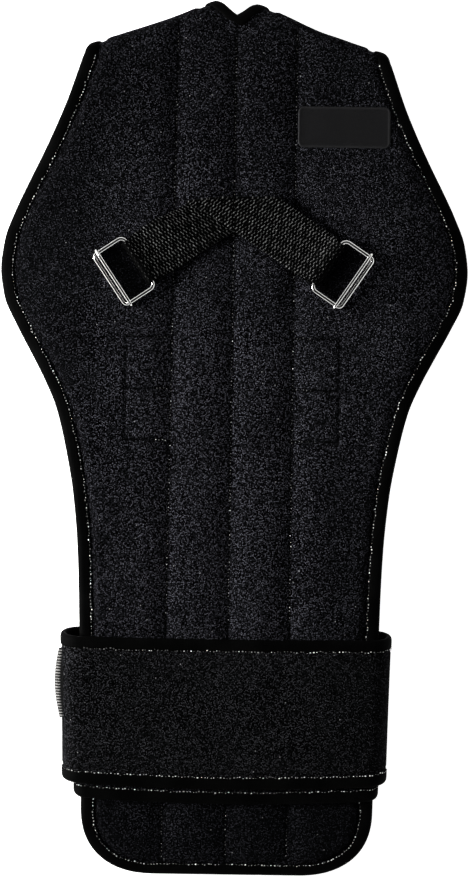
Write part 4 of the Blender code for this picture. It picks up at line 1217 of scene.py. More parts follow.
def webbing_arm(side, size, layer):
    """One arm of the webbing as a grid, from its hidden tail round the bar to the crease.

    The way s along the arm and t across it give point = bar + out * (place) + across * t.
    The last stretch fans from the bar to the level crease, so its length is
    arm - t / tan(slope). Returns the grid, s and t.
    """
    webbing, wire, tape = size.webbing, size.wire, size.tape
    slope = webbing.slope
    along = np.array([side * math.cos(slope), -math.sin(slope)])
    across = np.array([side * math.sin(slope), math.cos(slope)])
    centre = np.array([0.0, layer.crease]) + along * webbing.arm
    width = webbing.width
    in_ring = min(width, wire.across - 2 * wire.inner_corner + 2 * tape.gap)
    columns = np.linspace(-0.5, 0.5, 73)

    back = np.linspace(webbing.tail, 0.0, 26, endpoint=False)
    narrow = 1.0 - (1.0 - in_ring / width) * smooth_step(-back, -0.4 * webbing.tail, 0.0)
    turn = np.radians(np.linspace(-90.0, 90.0, 20))
    radius = layer.loop_radius
    top = np.linspace(0.0, 1.0, 176)[1:]
    widen = in_ring + (width - in_ring) * smooth_step(top, 0.0, 0.2)

    t_tail = columns * width * narrow[:, None]
    t_turn = columns * in_ring * np.ones((len(turn), 1))
    t_top = columns * widen[:, None]
    length_top = webbing.arm - columns * width / math.tan(slope)
    t_top = t_top * (1.0 - top[:, None]) + columns * width * top[:, None]
    place_top = -top[:, None] * length_top

    place = np.concatenate((np.broadcast_to(-back[:, None], t_tail.shape),
                            np.broadcast_to((radius * np.cos(turn))[:, None], t_turn.shape),
                            place_top))
    t = np.concatenate((t_tail, t_turn, t_top))
    seat = layer.webbing
    on_tail = seat + webbing.thickness + 0.5 * tape.gap
    top_level = layer.bar + radius
    crease_level = on_tail if side > 0 else seat
    level_top = top_level + (on_tail - top_level) * smooth_step(top, 0.0, 0.2)
    level_top = level_top + (crease_level - on_tail) * smooth_step(top, 0.4, 0.6)
    level = np.concatenate((np.full(len(back), seat), layer.bar + radius * np.sin(turn),
                            level_top))
    flat = centre + place[..., None] * along + t[..., None] * across
    grid = np.dstack((flat, np.broadcast_to(level[:, None], t.shape)))
    s_turn = radius * (turn - turn[0]) + webbing.tail
    s_top = s_turn[-1] + top[:, None] * length_top
    s = np.concatenate((np.broadcast_to((webbing.tail - back)[:, None], t_tail.shape),
                        np.broadcast_to(s_turn[:, None], t_turn.shape), s_top))
    return grid, s, t


def make_webbing(size, layer):
    """One length of ribbed webbing from tail to tail, folded on a level crease."""
    webbing, tape = size.webbing, size.tape
    left, left_s, left_t = webbing_arm(-1.0, size, layer)
    right, right_s, right_t = webbing_arm(1.0, size, layer)
    fold = np.radians(np.linspace(-90.0, 90.0, 9))[1:-1]
    step = webbing.thickness + tape.gap
    start, end = left[-1, ::-1], right[-1]
    rise = (0.5 * (1.0 + np.sin(fold)))[:, None, None]
    crease = start * (1.0 - rise) + end * rise
    crease[..., 1] += 0.5 * step * np.cos(fold)[:, None]
    grid = np.concatenate((left[:, ::-1], crease, right[::-1]))
    last = np.repeat(left_s[-1:, ::-1], len(fold), axis=0)
    s = np.concatenate((left_s[:, ::-1], last, right_s[::-1] + 0.4 * webbing.rib))
    t = np.concatenate((left_t[:, ::-1], np.repeat(left_t[-1:, ::-1], len(fold), axis=0),
                        right_t[::-1]))
    sink = (1.0 - smooth_step(layer.crease - grid[..., 1], 0.0, 0.014)) * bell(grid[..., 0] + 0.027, 0.013)
    grid[..., 1] -= webbing.crease_sink * sink
    column = 2 * math.pi * t / webbing.rib_column
    shift = RIB_SHIFT * np.tanh(3.0 * np.sin(column))
    rib = (0.5 + 0.5 * np.cos(2 * math.pi * (s / webbing.rib + shift))) ** RIB_POWER
    broken = 1.0 - RIB_BREAK * bell(np.sin(column), 0.35)
    uneven = 1.0 + RIB_UNEVEN * waves(s, t, RIB_UNEVEN_LENGTH, 5)
    crest = rib * broken * uneven
    rim = smooth_step(webbing.width / 2 - np.abs(t), 0.0, THIN_EDGE)
    thickness = webbing.thickness - 2 * webbing.rib_height * (1.0 - np.minimum(crest, 1.0))
    thickness = thickness * (0.55 + 0.45 * rim)
    row = np.arange(len(grid))[:, None]
    sewn = bell(grid[..., 0], SEWN_HALF_WIDTH) * smooth_step(row, SEWN_START, SEWN_FULL)
    thickness = thickness * (1.0 - 0.35 * sewn)
    points, faces = thicken(grid.reshape(-1, 3), grid_faces(grid), thickness)
    sewn_back = 0.7 + 0.3 * smooth_step(s, 1.4 * webbing.tail, 1.8 * webbing.tail)
    crest = np.clip(crest * sewn_back * (1.0 - 0.6 * sewn), 0.0, 1.4)
    # The crests' share becomes a painted highlight in the webbing's colour
    piece = add_piece("ribbed_webbing", points, faces, webbing_material(size),
                      {"rib": np.tile(crest.ravel(), 2)})
    settle(piece, "brace", "webbing", "cross_webbing")


def make_seam_stitches(size, layer):
    """Quilting stitches in the channel seams, the pockets and the webbing's seam.

    Each stitch is a grain on its line, sunk in the seam by a random way, so only some
    of them catch the light.
    """
    panel, webbing = size.panel, size.webbing
    lines = []
    body = np.linspace(layer.belt_top + 0.004, panel.body_length - 0.016, 400)
    tail = np.linspace(0.008, layer.belt_bottom - 0.002, 40)
    for heights in (body, tail):
        for side in (-1.0, 0.0, 1.0):
            out = side * seam_out(heights, side, size) if side else 0.0 * heights
            lines.append((out, heights, panel.seam_thickness / 2))
    groove = (panel.pad_thickness - panel.groove_depth) / 2
    upright = np.linspace(panel.pocket_bottom, panel.pocket_top, 60)
    for side in (-1.0, 1.0):
        lines.append((np.full(60, side * panel.pocket_out), upright, groove))
        for line in (panel.pocket_top, panel.pocket_middle, panel.pocket_bottom):
            out = side * np.linspace(seam_out(line, side, size) + 0.001, panel.pocket_out, 30)
            lines.append((out, np.full(30, line), groove))
    centres, ways = [], []
    for out, heights, lift in lines:
        level = panel_level(out, heights, size, layer) + lift
        path = np.column_stack((out, heights + layer.tail_y, level))
        along = arc_length(path)
        places = np.arange(0.5 * QUILTING_PITCH, along[-1], QUILTING_PITCH)
        centres.append(at_places(places, along, path))
        ways.append(at_places(places, along, np.gradient(path, axis=0)))
    apex = layer.crease - webbing.width / math.cos(webbing.slope)
    rows = np.arange(apex + 0.001, layer.crease, WEBBING_STITCH_PITCH)
    level = layer.webbing + webbing.thickness * 1.35 + size.tape.gap
    centres.append(np.column_stack((0.0 * rows, rows, np.full(len(rows), level))))
    ways.append(np.broadcast_to([0.0, 1.0, 0.0], (len(rows), 3)))
    centres, ways = np.concatenate(centres), unit(np.concatenate(ways))
    up = np.broadcast_to([0.0, 0.0, 1.0], centres.shape)
    up = unit(up - ways * np.sum(up * ways, axis=1, keepdims=True))
    draw = np.random.default_rng(97)
    count = len(centres)
    scatter = draw.normal(0.0, QUILTING_SCATTER, (count, 3))
    centres = centres + scatter * np.array([1.0, 1.0, 0.6])
    grow = draw.uniform(0.4, 1.0, count)
    points, faces = beads(centres, ways, up, *(half * grow for half in QUILTING_HALVES))
    # Stitches above two heights are given a darker colour
    share, start, end = QUILTING_DIMMING
    dimmed_high = fade_by_step(centres[:, 1] - layer.tail_y, share, start * panel.body_length,
                   end * panel.body_length)
    glow = 0.7 * dimmed_high * draw.uniform(0.0, 1.0, count) ** QUILTING_WEAR
    stitches = add_piece("quilting_stitches", points, faces, thread_material(size),
                         {"glow": np.repeat(glow, BEAD_POINTS)})
    settle(stitches, "brace", "loop_fabric")


def wire_tube(path, radius, closed, flat_up=None, sides=18):
    """Round wire along a path: path + r (side cos u + up sin u), with closed ends.

    The frame's up is kept square to the path from a fixed guide direction. Open ends
    are rounded by three shrinking rings and a point.
    """
    guide = np.array([0.0, 0.0, 1.0]) if flat_up is None else flat_up
    if closed:
        way = unit(np.roll(path, -1, axis=0) - np.roll(path, 1, axis=0))
    else:
        way = unit(np.gradient(path, axis=0))
        cap = np.radians([88.0, 60.0, 30.0])
        end = len(path) - 1
        rows = np.concatenate((np.zeros(3, int), np.arange(end + 1), np.full(3, end)))
        slide = np.concatenate((-np.sin(cap), np.zeros(end + 1), np.sin(cap[::-1])))
        shrink = np.concatenate((np.cos(cap), np.ones(end + 1), np.cos(cap[::-1])))
        radius = np.broadcast_to(radius, len(path))[rows] * shrink
        path = path[rows] + way[rows] * (slide * np.broadcast_to(radius, len(rows)) /
                                         np.maximum(shrink, 1e-6))[:, None]
        way = way[rows]
    up = unit(guide - way * (way @ guide)[:, None])
    side = np.cross(way, up)
    u = np.arange(sides) * 2 * math.pi / sides
    thick = np.broadcast_to(radius, len(path))[:, None, None]
    ring = side[:, None] * np.cos(u)[None, :, None] + up[:, None] * np.sin(u)[None, :, None]
    points = path[:, None] + thick * ring
    return points.reshape(-1, 3), grid_faces(points, around=closed, across=True)


def ring_place(side, size, layer):
    """Ring bar's middle and the ways along the ring's arms and up its bar."""
    slope = size.webbing.slope
    along = np.array([side * math.cos(slope), -math.sin(slope), 0.0])
    across = np.array([-along[1], along[0], 0.0])
    centre = np.array([0.0, layer.crease, layer.bar]) + along * size.webbing.arm
    return centre, along, across


def ring_outline(wire, steps=14):
    """Rectangle with round corners, in the ring's own plane, bar on the second axis."""
    half = wire.across / 2
    corners = (
        (wire.along, half, wire.outer_corner, 0.0),
        (0.0, half, wire.inner_corner, 90.0),
        (0.0, -half, wire.inner_corner, 180.0),
        (wire.along, -half, wire.outer_corner, 270.0),
    )
    arcs = []
    for along, across, radius, start in corners:
        turn = np.radians(np.linspace(start, start + 90.0, steps))
        middle_along = along - math.copysign(radius, along - wire.along / 2)
        middle_across = across - math.copysign(radius, across)
        arcs.append(np.column_stack((middle_along + radius * np.cos(turn),
                                     middle_across + radius * np.sin(turn))))
    return np.concatenate(arcs)


def make_ring(side_name, side, size, layer, material):
    """Closed wire ring whose inner bar lies in the webbing's loop."""
    wire = size.wire
    centre, along, across = ring_place(side, size, layer)
    flat = ring_outline(wire)
    path = centre + flat[:, :1] * along + flat[:, 1:] * across
    points, faces = wire_tube(path, wire.wire / 2, closed=True)
    ring = add_piece("wire_ring_" + side_name, points, faces, material)
    settle(ring, "ring_" + side_name, "bright_steel", "ring_" + side_name)


def make_slider(side_name, side, size, layer, material):
    """Straight bar over the ring whose thinner ends curl round the ring's arms."""
    wire = size.wire
    centre, along, across = ring_place(side, size, layer)
    curl = wire.wire / 2 + size.tape.gap + wire.curl_wire / 2
    steps, lean = 40, 0.0004
    turn = np.radians(np.linspace(-150.0, 90.0, steps))
    end_across = wire.across / 2 + curl * np.cos(turn)
    end_up = curl * np.sin(turn)
    bar = np.linspace(1.0, -1.0, 30)[1:-1] * wire.across / 2
    across_line = np.concatenate((end_across, bar, -end_across[::-1]))
    up_line = np.concatenate((end_up, np.full(len(bar), curl), end_up[::-1]))
    drift = lean * np.concatenate((np.linspace(1.0, 0.0, steps), np.zeros(len(bar)),
                                   -np.linspace(0.0, 1.0, steps)))
    place = wire.along - wire.slider_place + drift
    path = (centre + place[:, None] * along + across_line[:, None] * across
            + up_line[:, None] * np.array([0.0, 0.0, 1.0]))
    thin, thick = wire.curl_wire / 2, wire.slider_wire / 2
    toward_bar = smooth_step(np.abs(across_line), wire.across / 2 + 0.0002,
                             wire.across / 2 - 0.002)
    toward_bar = np.where(up_line > 0.9 * curl, toward_bar, 0.0)
    radius = thin + (thick - thin) * toward_bar
    points, faces = wire_tube(path, radius, closed=False, flat_up=along)
    slider = add_piece("slide_bar_" + side_name, points, faces, material)
    settle(slider, "slider_" + side_name, "bright_steel", "slider_" + side_name)


def make_rings(size, layer):
    """Both wire rings with their sliding bars."""
    material = wire_material(size)
    for side_name, side in (("left", -1.0), ("right", 1.0)):
        make_ring(side_name, side, size, layer, material)
        make_slider(side_name, side, size, layer, material)


def make_patch(size, layer):
    """Bare woven patch: a flat grid whose rows narrow to the corner arcs.

    x = u w(y) with w = width / 2 - (r - sqrt(r^2 - e^2)) where e is how far y enters
    the corner. The rim swells as a bell and the cloth thins to nothing at its border.
    """
    patch = size.patch
    v = spread((-patch.height / 2, patch.height / 2), 0.0006, 0.0002, 0.0014)
    u = spread((-1.0, 1.0), 0.026, 0.006, 0.06)
    enter = np.clip(np.abs(v) - (patch.height / 2 - patch.corner), 0.0, patch.corner)
    cut = patch.corner - np.sqrt(np.maximum(patch.corner ** 2 - enter ** 2, 0.0))
    half = patch.width / 2 - cut
    x = u[None, :] * half[:, None]
    y = np.broadcast_to(v[:, None], x.shape)
    edge = np.minimum(half[:, None] - np.abs(x), patch.height / 2 - np.abs(y))
    rim = bell(edge - 0.5 * patch.rim, 0.45 * patch.rim)
    fine = 0.5 + 0.5 * np.cos(2 * math.pi * (x + y) / 0.0007)
    thickness = patch.thickness * (0.70 + 0.34 * rim + 0.08 * rim * fine)
    thickness = thickness * (0.25 + 0.75 * smooth_step(edge, -0.0001, 0.0005))
    out = patch.out + x
    height = size.panel.body_length - patch.drop + y
    level = layer.patch + 0.0001 * waves(x, y, 0.02, 3)
    grid = np.dstack((out, height + layer.tail_y, level))
    points, faces = thicken(grid.reshape(-1, 3), grid_faces(grid), thickness)
    piece = add_piece("woven_label_patch", points, faces, patch_material(size),
                      {"rim": np.tile(rim.ravel(), 2)})
    settle(piece, "brace", "woven_patch", "label_patch")


def add_node(tree, kind, inputs=None, **attributes):
    """Add a shader node, set its attributes, and give inputs a value or a link."""
    node = tree.nodes.new(kind)
    for name, value in attributes.items():
        setattr(node, name, value)
    for name, value in (inputs or {}).items():
        if isinstance(value, bpy.types.NodeSocket):
            tree.links.new(value, node.inputs[name])
        else:
            node.inputs[name].default_value = value
    return node


def math_node(tree, operation, first, second=0.5):
    """Output of a math node with two values or links."""
    node = add_node(tree, "ShaderNodeMath", {0: first, 1: second}, operation=operation)
    return node.outputs[0]


def map_range(tree, value, low, high, to_low=0.0, to_high=1.0):
    """Output of a smooth map of a value from one range to another."""
    node = add_node(tree, "ShaderNodeMapRange", {
        "Value": value, "From Min": low, "From Max": high, "To Min": to_low,
        "To Max": to_high}, interpolation_type="SMOOTHSTEP")
    return node.outputs["Result"]


def mix_colours(tree, factor, first, second):
    """Output of a mix of two colours, each a triple or a link."""
    first = first if isinstance(first, bpy.types.NodeSocket) else (*first, 1.0)
    second = second if isinstance(second, bpy.types.NodeSocket) else (*second, 1.0)
    node = add_node(tree, "ShaderNodeMix", {0: factor, 6: first, 7: second}, data_type="RGBA")
    return node.outputs[2]


def shader_group(name, inputs, outputs):
    """New node group with float or vector inputs and float outputs."""
    group = bpy.data.node_groups.new(name, "ShaderNodeTree")
    for label, kind, default in inputs:
        socket = group.interface.new_socket(label, in_out="INPUT", socket_type=kind)
        if default is not None:
            socket.default_value = default
    for label in outputs:
        group.interface.new_socket(label, in_out="OUTPUT", socket_type="NodeSocketFloat")
    source = group.nodes.new("NodeGroupInput")
    target = group.nodes.new("NodeGroupOutput")
    return group, source, target


def pile_grain_group():
    """Brushed loops: a mask of loop tips, sparse lint on them, and the pile's height."""
    if "Pile grain" in bpy.data.node_groups:
        return bpy.data.node_groups["Pile grain"]
    group, source, target = shader_group(
        "Pile grain",
        (("Vector", "NodeSocketVector", None), ("Scale", "NodeSocketFloat", 2000.0),
         ("Depth", "NodeSocketFloat", 0.30)),
        ("Tips", "Lint", "Height"))
    vector, scale = source.outputs["Vector"], source.outputs["Scale"]
    fine = add_node(group, "ShaderNodeTexNoise", {
        "Vector": vector, "Scale": scale, "Detail": 1.0, "Roughness": 0.6,
        "Distortion": 0.3})
    raised = add_node(group, "ShaderNodeMapRange", {
        "Value": fine.outputs["Fac"], "From Min": source.outputs["Depth"],
        "From Max": 0.66, "To Min": 0.60, "To Max": 1.10}).outputs["Result"]
    loops = add_node(group, "ShaderNodeTexVoronoi", {"Vector": vector, "Scale": scale})
    lot = add_node(group, "ShaderNodeSeparateColor", {"Color": loops.outputs["Color"]})
    caught = map_range(group, lot.outputs["Red"], 0.35, 1.0, 0.22, 1.80)
    peak = map_range(group, loops.outputs["Distance"], 0.15, 0.72, 1.0, 0.0)
    peak = math_node(group, "POWER", peak, 1.8)
    tips = math_node(group, "MULTIPLY", math_node(group, "MULTIPLY", raised, caught), peak)
    cells = add_node(group, "ShaderNodeTexVoronoi", {"Vector": vector, "Scale": 150.0})
    lint = map_range(group, cells.outputs["Distance"], 0.025, 0.060, 1.0, 0.0)
    group.links.new(tips, target.inputs["Tips"])
    group.links.new(lint, target.inputs["Lint"])
    group.links.new(fine.outputs["Fac"], target.inputs["Height"])
    return group


def cloud_group():
    """Broad soft unevenness, such as nap brushed one way or a little dust."""
    if "Soft cloud" in bpy.data.node_groups:
        return bpy.data.node_groups["Soft cloud"]
    group, source, target = shader_group(
        "Soft cloud",
        (("Vector", "NodeSocketVector", None), ("Scale", "NodeSocketFloat", 30.0)),
        ("Amount",))
    noise = add_node(group, "ShaderNodeTexNoise", {
        "Vector": source.outputs["Vector"], "Scale": source.outputs["Scale"],
        "Detail": 3.0, "Roughness": 0.55})
    amount = map_range(group, noise.outputs["Fac"], 0.35, 0.65)
    group.links.new(amount, target.inputs["Amount"])
    return group


def twill_group():
    """Close weave: two crossing sets of threads, as a height and a mask of their tops."""
    if "Close weave" in bpy.data.node_groups:
        return bpy.data.node_groups["Close weave"]
    group, source, target = shader_group(
        "Close weave",
        (("Vector", "NodeSocketVector", None), ("Scale", "NodeSocketFloat", 300.0),
         ("Twist", "NodeSocketFloat", 0.8)),
        ("Height", "Tops"))
    waves_made = []
    for direction in ("X", "Y"):
        wave = add_node(group, "ShaderNodeTexWave", {
            "Vector": source.outputs["Vector"], "Scale": source.outputs["Scale"],
            "Distortion": source.outputs["Twist"], "Detail": 1.0, "Detail Scale": 2.0},
            wave_type="BANDS", bands_direction=direction, wave_profile="SIN")
        waves_made.append(wave.outputs["Fac"])
    height = math_node(group, "MULTIPLY", waves_made[0], waves_made[1])
    tops = map_range(group, height, 0.25, 0.9)
    group.links.new(height, target.inputs["Height"])
    group.links.new(tops, target.inputs["Tops"])
    return group


def start_material(name):
    """New material, with its tree, shader node and Object coordinates."""
    material = bpy.data.materials.new(name)
    material.use_nodes = True
    tree = material.node_tree
    shader = tree.nodes["Principled BSDF"]
    place = tree.nodes.new("ShaderNodeTexCoord").outputs["Object"]
    return material, tree, shader, place


def use_group(tree, group, inputs):
    """Outputs of a node group, put into a tree with its inputs given."""
    return add_node(tree, "ShaderNodeGroup", inputs, node_tree=group).outputs


def attribute(tree, name):
    """Value of a mesh attribute."""
    return add_node(tree, "ShaderNodeAttribute", attribute_name=name).outputs["Fac"]


def set_surface(tree, shader, base, roughness, gloss):
    """Link a shader's base colour, and set its roughness and specular level."""
    tree.links.new(base, shader.inputs["Base Color"])
    shader.inputs["Roughness"].default_value = roughness
    shader.inputs["Specular IOR Level"].default_value = gloss


def put_bump(tree, shader, height, strength, distance):
    """Let a height stand out on a shader's surface."""
    bump = add_node(tree, "ShaderNodeBump", {
        "Height": height, "Strength": strength, "Distance": distance})
    tree.links.new(bump.outputs["Normal"], shader.inputs["Normal"])


def pile_material(size, kind):
    """Brushed loop cloth: deep black between pale loop tips, with a random unevenness and the painted
    shade held in its points.
    """
    name = "Brushed loop cloth, " + kind
    if name in bpy.data.materials:
        return bpy.data.materials[name]
    finish = size.finish
    body = kind == "body"
    deep, light = (finish.pile_dark, finish.pile_light) if body else (
        finish.belt_dark, finish.belt_light)
    material, tree, shader, place = start_material(name)
    grain = use_group(tree, pile_grain_group(), {
        "Vector": place, "Scale": 1650.0 if body else 1700.0, "Depth": 0.26})
    cloud = use_group(tree, cloud_group(), {"Vector": place, "Scale": 28.0})["Amount"]
    # Painted shade from the points, times a random unevenness of the cloth, dims the loop tips
    tone_and_painted_shade = attribute(tree, "tone_and_painted_shade")
    dimming = math_node(tree, "MULTIPLY", tone_and_painted_shade, map_range(tree, cloud, 0.0, 1.0, 0.85, 1.10))
    tips = math_node(tree, "MULTIPLY", grain["Tips"], dimming)
    cloth = mix_colours(tree, tips, deep, light)
    lint = math_node(tree, "MULTIPLY", grain["Lint"], 0.8)
    base = mix_colours(tree, lint, cloth, finish.lint)
    set_surface(tree, shader, base, 0.9, 0.01)
    put_bump(tree, shader, grain["Height"], 0.7, 0.0006)
    return material


def tape_material(size):
    """Folded knit tape: smooth dull black with the faintest close weave."""
    name = "Binding tape"
    if name in bpy.data.materials:
        return bpy.data.materials[name]
    material, tree, shader, place = start_material(name)
    weave = use_group(tree, twill_group(), {"Vector": place, "Scale": 420.0})
    tone_and_painted_shade = use_group(tree, cloud_group(), {"Vector": place, "Scale": 45.0})["Amount"]
    dark = tuple(0.55 * c for c in size.finish.tape)
    light = tuple(1.7 * c for c in size.finish.tape)
    cloth = mix_colours(tree, tone_and_painted_shade, dark, light)
    tops = math_node(tree, "MULTIPLY", weave["Tops"], 0.5)
    base = mix_colours(tree, tops, cloth, light)
    set_surface(tree, shader, base, 0.65, 0.009)
    put_bump(tree, shader, weave["Height"], 0.25, 0.0002)
    return material


def thread_material(size):
    """Pale seam thread. Each stitch's own glow runs from lost in the nap to bright."""
    name = "Pale seam thread"
    if name in bpy.data.materials:
        return bpy.data.materials[name]
    material, tree, shader, place = start_material(name)
    thread = size.finish.thread
    fibre = add_node(tree, "ShaderNodeTexNoise", {"Vector": place, "Scale": 5200.0})
    base = mix_colours(tree, attribute(tree, "glow"), tuple(0.04 * c for c in thread), thread)
    tree.links.new(base, shader.inputs["Base Color"])
    shader.inputs["Roughness"].default_value = 0.6
    put_bump(tree, shader, fibre.outputs["Fac"], 0.4, 0.0001)
    return material


def ribbed_material(name, deep, pale, crests, threads, spark, roughness, gloss, depth):
    """Ribbed cloth whose ribs' crests are lighter, broken up by the fine threads on them: a painted
    highlight on the webbing, the ribs' own pale colour on the elastic.
    """
    material, tree, shader, place = start_material(name)
    # Lighter crests: a painted highlight on the webbing, the ribs' own colour on the elastic
    crest = map_range(tree, attribute(tree, "rib"), *crests)
    noise = add_node(tree, "ShaderNodeTexNoise", {"Vector": place, **threads}).outputs["Fac"]
    crest = math_node(tree, "MULTIPLY", crest, map_range(tree, noise, 0.3, 0.7, *spark))
    set_surface(tree, shader, mix_colours(tree, crest, deep, pale), roughness, gloss)
    put_bump(tree, shader, noise, depth, 0.0002)
    return material


def webbing_material(size):
    """Black webbing with a painted highlight along its ribs' crests."""
    return ribbed_material("Ribbed webbing", size.finish.webbing, size.finish.webbing_highlight,
                           crests=(0.50, 1.15), threads={"Scale": 2400.0, "Detail": 1.0},
                           spark=(0.35, 1.25), roughness=0.5, gloss=0.012, depth=0.5)


def elastic_material(size):
    """Elastic with pale covered ribs over a dark ground."""
    return ribbed_material("Ribbed elastic", size.finish.elastic, size.finish.elastic_rib,
                           crests=(0.40, 0.90), threads={"Scale": 1800.0},
                           spark=(0.4, 1.1), roughness=0.7, gloss=0.1, depth=0.4)


def patch_material(size):
    """Close satin weave, a little paler on the overcast rim."""
    material, tree, shader, place = start_material("Woven patch")
    weave = use_group(tree, twill_group(), {"Vector": place, "Scale": 640.0, "Twist": 0.4})
    rim = attribute(tree, "rim")
    tone_and_painted_shade = use_group(tree, cloud_group(), {"Vector": place, "Scale": 1500.0})["Amount"]
    patch = size.finish.patch
    cloth = mix_colours(tree, weave["Tops"], tuple(0.7 * c for c in patch),
                        tuple(1.35 * c for c in patch))
    cloth = mix_colours(tree, math_node(tree, "MULTIPLY", tone_and_painted_shade, 0.8), cloth,
                        tuple(0.5 * c for c in patch))
    base = mix_colours(tree, math_node(tree, "MULTIPLY", rim, 0.5), cloth,
                       tuple(1.9 * c for c in patch))
    set_surface(tree, shader, base, 0.5, 0.06)
    put_bump(tree, shader, weave["Height"], 0.35, 0.0002)
    return material


def wire_material(size):
    """Bright nickel plate with fine rubbed streaks in its roughness."""
    material, tree, shader, place = start_material("Bright nickel wire")
    rub = use_group(tree, cloud_group(), {"Vector": place, "Scale": 420.0})["Amount"]
    rough = map_range(tree, rub, 0.0, 1.0, 0.07, 0.20)
    wire = size.finish.wire
    base = mix_colours(tree, rub, wire, tuple(0.86 * c for c in wire))
    tree.links.new(base, shader.inputs["Base Color"])
    tree.links.new(rough, shader.inputs["Roughness"])
    shader.inputs["Metallic"].default_value = 1.0
    put_bump(tree, shader, rub, 0.05, 0.0001)
    return material


def floor_material(size):
    """Plain pale floor with a breath of unevenness."""
    material, tree, shader, place = start_material("Pale floor")
    cloud = use_group(tree, cloud_group(), {"Vector": place, "Scale": 3.0})["Amount"]
    floor = size.finish.floor
    base = mix_colours(tree, cloud, floor, tuple(0.985 * c for c in floor))
    tree.links.new(base, shader.inputs["Base Color"])
    tree.links.new(base, shader.inputs["Emission Color"])
    shader.inputs["Emission Strength"].default_value = 1.0
    shader.inputs["Roughness"].default_value = 0.8
    return material


def add_light(name, power, place, size_x, size_y, beam):
    """Soft box that faces the middle of the floor."""
    light = bpy.data.lights.new(name, "AREA")
    light.shape = "RECTANGLE"
    light.size = size_x
    light.size_y = size_y
    light.energy = power
    light.spread = math.radians(beam)
    lamp = bpy.data.objects.new(name, light)
    lamp.location = place
    lamp.rotation_mode = "QUATERNION"
    lamp.rotation_quaternion = lamp.location.to_track_quat("Z", "Y")
    bpy.context.scene.collection.objects.link(lamp)


def make_stage(size, layer):
    """Floor, soft lights, pale walls and the camera straight above the brace."""
    stage = size.stage
    scene = bpy.context.scene
    scene.view_settings.view_transform = "Standard"

    half, below = 3.0, -0.0003
    corners = np.array([(-half, -half, below), (half, -half, below), (half, half, below),
                        (-half, half, below)])
    mesh = bpy.data.meshes.new("floor")
    mesh.from_pydata(corners.tolist(), [], [(0, 1, 2, 3)])
    mesh.materials.append(floor_material(size))
    floor = bpy.data.objects.new("floor", mesh)
    scene.collection.objects.link(floor)

    lights = (
        ("key softbox", stage.key, (-0.95, 0.03, 0.36), 0.35, 0.5, 70.0),
        ("side softbox", stage.rim, (0.85, -0.05, 0.45), 0.4, 0.9, 180.0),
        ("neck softbox", stage.top, (-0.10, 0.95, 0.60), 0.9, 0.4, 180.0),
    )
    for name, power, place, size_x, size_y, beam in lights:
        add_light(name, power, place, size_x, size_y, beam)

    world = bpy.data.worlds.new("Room")
    world.use_nodes = True
    room = world.node_tree
    way = add_node(room, "ShaderNodeTexCoord").outputs["Generated"]
    upward = add_node(room, "ShaderNodeSeparateXYZ", {"Vector": way}).outputs["Z"]
    walls = map_range(room, upward, 0.38, 0.58, 1.0, 0.02)
    background = room.nodes["Background"]
    background.inputs["Strength"].default_value = stage.sky
    room.links.new(walls, background.inputs["Color"])
    scene.world = world

    camera = bpy.data.cameras.new("camera")
    camera.lens = stage.lens
    camera.clip_end = 20.0
    held = bpy.data.objects.new("camera", camera)
    reach = stage.picture_height * stage.pixel
    distance = reach * stage.lens / camera.sensor_width
    held.location = (stage.aim_across, stage.aim_up, distance + layer.panel)
    held.rotation_euler = (0.0, 0.0, stage.roll)
    scene.collection.objects.link(held)
    scene.camera = held


def run(make):
    """Call a maker with the sizes and levels, and return what its operator returns."""
    size = settings()
    make(size, layers(size))
    return {"FINISHED"}


class BRACE_OT_panel(Operator):
    """Make the quilted body with its shoulder straps"""
    bl_idname = "brace.make_panel"
    bl_label = "Quilted Panel"

    def execute(self, context):
        return run(make_panel)


class BRACE_OT_binding(Operator):
    """Make the folded tape round the border, with its stitches"""
    bl_idname = "brace.make_binding"
    bl_label = "Edge Binding"

    def execute(self, context):
        return run(make_binding)


class BRACE_OT_belt(Operator):
    """Make the two turns of the waist belt, with their tapes and stitches"""
    bl_idname = "brace.make_belt"
    bl_label = "Waist Belt"

    def execute(self, context):
        return run(make_belt)


class BRACE_OT_elastic(Operator):
    """Make the ribbed elastic at the belt's side"""
    bl_idname = "brace.make_elastic"
    bl_label = "Side Elastic"

    def execute(self, context):
        return run(make_elastic)


class BRACE_OT_webbing(Operator):
    """Make the ribbed webbing across the shoulder blades"""
    bl_idname = "brace.make_webbing"
    bl_label = "Cross Webbing"

    def execute(self, context):
        return run(make_webbing)


class BRACE_OT_stitches(Operator):
    """Make the quilting stitches of the channels, pockets and webbing"""
    bl_idname = "brace.make_stitches"
    bl_label = "Quilting Stitches"

    def execute(self, context):
        return run(make_seam_stitches)


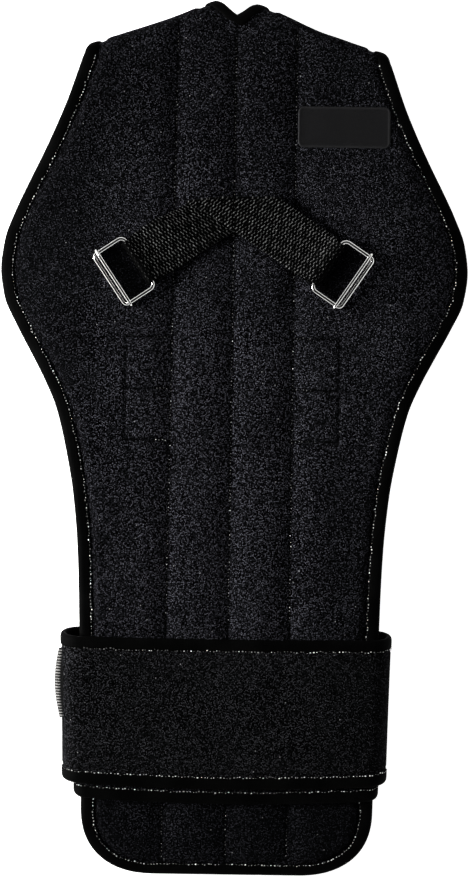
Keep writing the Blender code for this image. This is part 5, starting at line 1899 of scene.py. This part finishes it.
class BRACE_OT_rings(Operator):
    """Make both wire rings and their sliding bars"""
    bl_idname = "brace.make_rings"
    bl_label = "Slide Rings"

    def execute(self, context):
        return run(make_rings)


class BRACE_OT_patch(Operator):
    """Make the bare woven patch"""
    bl_idname = "brace.make_patch"
    bl_label = "Woven Patch"

    def execute(self, context):
        return run(make_patch)


class BRACE_OT_stage(Operator):
    """Make the floor, the lights and the camera"""
    bl_idname = "brace.make_stage"
    bl_label = "Stage"

    def execute(self, context):
        return run(make_stage)


OPERATORS = (BRACE_OT_panel, BRACE_OT_binding, BRACE_OT_belt, BRACE_OT_elastic,
             BRACE_OT_webbing, BRACE_OT_stitches, BRACE_OT_rings, BRACE_OT_patch,
             BRACE_OT_stage)


class BRACE_PT_sidebar(Panel):
    """Lists the brace's pieces and their sizes"""
    bl_idname = "BRACE_PT_sidebar"
    bl_label = "Posture Corrector Brace"
    bl_space_type = "VIEW_3D"
    bl_region_type = "UI"
    bl_category = "Brace"

    def draw(self, context):
        column = self.layout.column()
        for operator in OPERATORS:
            column.operator(operator.bl_idname)
        for name, kind in GROUPS.items():
            box = self.layout.box()
            group = getattr(context.scene, name)
            for field in kind.__annotations__:
                box.prop(group, field)


CLASSES = (*GROUPS.values(), *OPERATORS, BRACE_PT_sidebar)


def register():
    """Register the classes, and hang each group of sizes on the scene."""
    for kind in CLASSES:
        bpy.utils.register_class(kind)
    for name, kind in GROUPS.items():
        setattr(bpy.types.Scene, name, PointerProperty(type=kind))


def unregister():
    """Undo what register did."""
    for name in GROUPS:
        delattr(bpy.types.Scene, name)
    for kind in reversed(CLASSES):
        bpy.utils.unregister_class(kind)


def main():
    """Make every piece and the stage."""
    register()
    bpy.ops.brace.make_panel()
    bpy.ops.brace.make_binding()
    bpy.ops.brace.make_belt()
    bpy.ops.brace.make_elastic()
    bpy.ops.brace.make_webbing()
    bpy.ops.brace.make_stitches()
    bpy.ops.brace.make_rings()
    bpy.ops.brace.make_patch()
    bpy.ops.brace.make_stage()


if __name__ == "__main__":
    main()
